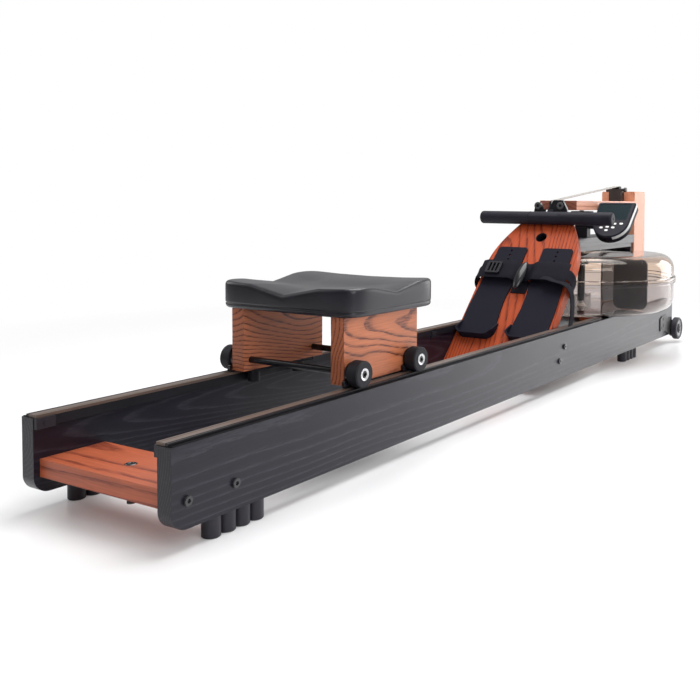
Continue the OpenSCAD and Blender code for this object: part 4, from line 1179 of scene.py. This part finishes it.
@dataclass
class Drive(Assembly):
    """Handle, rollers, brackets and belt. Roller centres are (y, z)."""

    belt_w: float = 22.0
    belt_t: float = 1.5
    belt_gap: float = 1.05  # the belt's middle line off a roller
    rear: Pair = (1478.0, 459.0)
    front: Pair = (1940.0, 506.0)
    low: Pair = (1940.0, 413.0)
    rear_r: float = 9.0
    front_r: float = 10.0
    drum: Triple = (-25.05, 1661.0, 418.0)  # where the belt reaches the drum
    seams: Pair = (-46.5, 46.5)
    grip: Pair = (1406.99, 418.99)  # the handle's middle line, as y and z
    pull: Sequence[Pair] = ((1425.4, 423), (1445, 440), (1466.3, 458))

    def build(self) -> None:
        """Dresses the drive and builds its belt and webbing."""
        self.dress(GRIP_SKIN, Edge.CRISP, "handle_bar")
        for (side, _sign), x in zip(SIDES, self.seams):
            self.turned(f"grip_seam_{side}", GRIP_SEAM, "handle",
                        stand(at(x, *self.grip), "Y", QUARTER_TURN))
        self.dress(BLACK_STEEL, Edge.CRISP, "front_roller_bracket", "rear_roller_bracket",
                   "lower_roller_bracket")
        self.dress(MATT_BLACK, Edge.CRISP, "rear_roller", "front_roller", "lower_roller")
        self.belt("upper_belt", self.upper_run(), sideways, "drive_belt")
        self.belt("twisted_belt", self.return_run(), self.twist, "belt_return")
        path = curve([at(0, y, z) for y, z in self.pull], 16)
        strap = strip("pull_webbing", path, sideways, self.belt_w, 2.0)
        self.paint(strap, STRAP_WEB)
        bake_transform(strap)
        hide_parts("pull_strap")
        LOG.info("built %s between handle and frame", strap.name)

    def belt(self, name: str, path: Sequence[Vector], across: Callable[[float], Vector],
             node: str) -> None:
        """Adds one run of the pale belt in place of its CAD node."""
        run = strip(name, path, across, self.belt_w, self.belt_t)
        self.add(run, BELT_WEB, "frame", "belt", [node])

    def upper_run(self) -> list[Vector]:
        """Leads the belt over the rear, front and lower rollers.

        Returns:
            The belt's middle line.
        """
        near, far = self.rear_r + self.belt_gap, self.front_r + self.belt_gap
        climb = self.front[1] + far - self.rear[1] - near
        tilt = math.degrees(math.atan2(climb, self.front[0] - self.rear[0]))
        line = (arc(self.rear, near, 190, 90 + tilt, 10)
                + arc(self.front, far, 90 + tilt, 0, 10) + arc(self.low, far, 0, -86, 10))
        return [at(0, y, z) for y, z in line]

    def return_run(self) -> list[Vector]:
        """Leads the belt from below the lower roller back to the drum.

        Returns:
            The belt's middle line.
        """
        steps = 24
        x, y, z = self.drum
        y0, z0 = self.low[0], self.low[1] - (self.front_r + self.belt_gap)
        return [at(x * t, y0 + (y - y0) * t, z0 + (z - z0) * t)
                for t in (i / steps for i in range(steps + 1))]

    @staticmethod
    def twist(share: float) -> Vector:
        """Turns the belt's width by a quarter on its way back."""
        return Vector((math.cos(share * QUARTER_TURN), 0, math.sin(share * QUARTER_TURN)))


@dataclass
class Monitor(Assembly):
    """Monitor case, display, keys and arm. Face places are (x, up the face)."""

    low_edge: Pair = (1562.6, 365.6)  # y and z where the face begins
    side: Sequence[Pair] = ((174.6, 131.0), (177.0, 122.0), (176.0, 100.0), (174.6, 78.0))
    corner: Pair = (118.3, 54.4)
    corner_r: float = 54.9
    rim_n: float = -9.0
    rim_w: float = 10.0
    rim_t: float = 1.2

    def on_face(self, x: float, v: float, n: float) -> Vector:
        """Places a point by its distance up the monitor's face and off it."""
        c, s = math.cos(MONITOR_SLOPE), math.sin(MONITOR_SLOPE)
        return at(x, self.low_edge[0] + v * c - n * s, self.low_edge[1] + v * s + n * c)

    def build(self) -> None:
        """Dresses the monitor and adds the silver strip on its side."""
        self.dress(GRIP_SKIN, Edge.ROUNDED, "monitor_case")
        self.dress(Display(), Edge.CRISP, "monitor_screen")
        self.dress(KEY_WHITE, Edge.CRISP, "monitor_keys")
        self.dress(MATT_BLACK, Edge.EASED, "monitor_arm")
        bend = arc(self.corner, self.corner_r, -4, -74, 10)
        path = curve([self.on_face(x, v, self.rim_n) for x, v in (*self.side, *bend)], 3)
        off = Vector((0, -math.sin(MONITOR_SLOPE), math.cos(MONITOR_SLOPE)))
        rim = strip("monitor_rim", path, lambda t: off, self.rim_w, self.rim_t)
        self.add(rim, SILVER_RIM, "monitor", "steel")


@dataclass
class Studio:
    """Pale floor, soft light and the camera at the photograph's angle. Places are in metres."""

    place: Triple = (1.0527, -0.7453 - 1.047, 0.4605)
    yaw: float = 0.5229
    pitch: float = 0.0446
    roll: float = 0.0081
    focal: float = 862.7832  # in pixels
    centre: Pair = (486.1092, 241.1185)
    image: int = 700
    sensor: float = 36.0
    diffuse: float = 0.26
    glow_way: Triple = (0.22, 0.34, 0.16)  # the direction in which reflections brighten
    glow_span: Pair = (-0.42, 0.36)
    glow_levels: Pair = (0.16, 0.95)
    lamps: Sequence[tuple] = (
        ("top_light", (0.2, 0.4, 2.6), (0, 0, 0), 2.4, 100.0),
        ("side_light", (2.6, -1.6, 1.7), (0, 0.1, 0.2), 1.5, 34.0),
        ("left_light", (-2.6, -1.2, 1.6), (0, 0.2, 0.2), 1.5, 20.0),
        ("far_light", (1.7, 3.6, 0.9), (0.1, 0.6, 0.2), 2.0, 50.0))

    def build(self) -> None:
        """Makes the world, floor, lights and camera."""
        scene = bpy.context.scene
        scene.view_settings.view_transform = "Standard"
        self.world(scene)
        self.floor()
        for lamp in self.lamps:
            self.lamp(*lamp)
        self.camera(scene)

    def world(self, scene: bpy.types.Scene) -> None:
        """Makes a plain pale world that shows as white behind the machine.

        What glossy surfaces mirror is bright ahead and to the right, and dim to the rear left.

        Args:
            scene: The scene.
        """
        world = bpy.data.worlds.new("studio")
        scene.world = world
        world.use_nodes = True
        g = Nodes(world.node_tree)
        g.nodes.clear()
        light = g.add("ShaderNodeBackground", {0: WHITE, 1: self.diffuse}).outputs[0]
        white = g.add("ShaderNodeBackground", {0: WHITE, 1: 1.0}).outputs[0]
        where = g.add("ShaderNodeTexCoord").outputs["Generated"]
        toward = g.vector("DOT_PRODUCT", where, self.glow_way, "Value")
        (near, far), (dim, full) = self.glow_span, self.glow_levels
        level = g.add("ShaderNodeMapRange", {"Value": toward, "From Min": near, "From Max": far,
                                             "To Min": dim, "To Max": full}).outputs[0]
        mirrored = g.add("ShaderNodeBackground", {1: level}).outputs[0]
        glossy = g.add("ShaderNodeLightPath").outputs["Is Glossy Ray"]
        g.add("ShaderNodeOutputWorld",
              {0: g.blend(glossy, g.blend(g.seen(), light, white), mirrored)})

    def floor(self) -> None:
        """Lays a pale floor that keeps the shadow and fades to white further out."""
        bm = bmesh.new()
        bmesh.ops.create_grid(bm, x_segments=24, y_segments=24, size=9.0)
        obj = linked("studio_floor", bm)
        g = Graph("floor_white")
        where = g.place()
        tone = g.ramp(g.noise(where, 0.8), [(0.3, (0.97, 0.97, 0.98)), (0.7, (0.99, 0.99, 1.0))])
        g.set(Base_Color=tone, Roughness=0.24, Specular_IOR_Level=0.75)
        far = g.vector("LENGTH", where, output="Value")
        fade = g.ramp(g.math("MULTIPLY", far, 0.2), [(0.19, grey(0.07)), (0.42, grey(1))])
        glow = g.add("ShaderNodeEmission", {0: WHITE, 1: 1.0}).outputs[0]
        shown = g.blend(g.math("MULTIPLY", fade, g.seen()), g.shader.outputs[0], glow)
        g.links.new(shown, g.output.inputs[0])
        obj.data.materials.append(g.material)

    def lamp(self, name: str, place: Point, aim: Point, size: float, power: float) -> None:
        """Hangs one soft square light.

        Args:
            name: The light's name.
            place: Where it hangs.
            aim: What it points at.
            size: Its side.
            power: Its power in watts.
        """
        data = bpy.data.lights.new(name, "AREA")
        data.size, data.energy = size, power
        obj = bpy.data.objects.new(name, data)
        obj.location = place
        obj.rotation_euler = (Vector(aim) - Vector(place)).to_track_quat("-Z", "Y").to_euler()
        bpy.context.scene.collection.objects.link(obj)

    def camera(self, scene: bpy.types.Scene) -> None:
        """Sets the camera by its measured place, turn and focal length.

        Args:
            scene: The scene.
        """
        data = bpy.data.cameras.new("view")
        data.sensor_width = self.sensor
        data.lens = self.focal / self.image * self.sensor
        data.shift_x = (self.image / 2 - self.centre[0]) / self.image
        data.shift_y = (self.centre[1] - self.image / 2) / self.image
        data.clip_end = 50
        cy, sy = math.cos(self.yaw), math.sin(self.yaw)
        cp, sp = math.cos(self.pitch), math.sin(self.pitch)
        ahead, right = Vector((-sy * cp, cy * cp, -sp)), Vector((cy, sy, 0))
        up = right.cross(ahead)
        c, s = math.cos(self.roll), math.sin(self.roll)
        right, up = right * c + up * s, up * c - right * s
        turn = Matrix((right, up, -ahead)).transposed().to_4x4()
        obj = bpy.data.objects.new("view", data)
        obj.matrix_world = Matrix.Translation(self.place) @ turn
        scene.collection.objects.link(obj)
        scene.camera = obj


def main() -> None:
    """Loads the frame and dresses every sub-assembly."""
    logging.basicConfig(level=logging.INFO, format="%(name)s: %(message)s")
    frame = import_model()
    Studio().build()
    for part in (Chassis, SeatCarriage, FootRest, Tank, Drive, Monitor):
        part(frame).build()


if __name__ == "__main__":
    main()
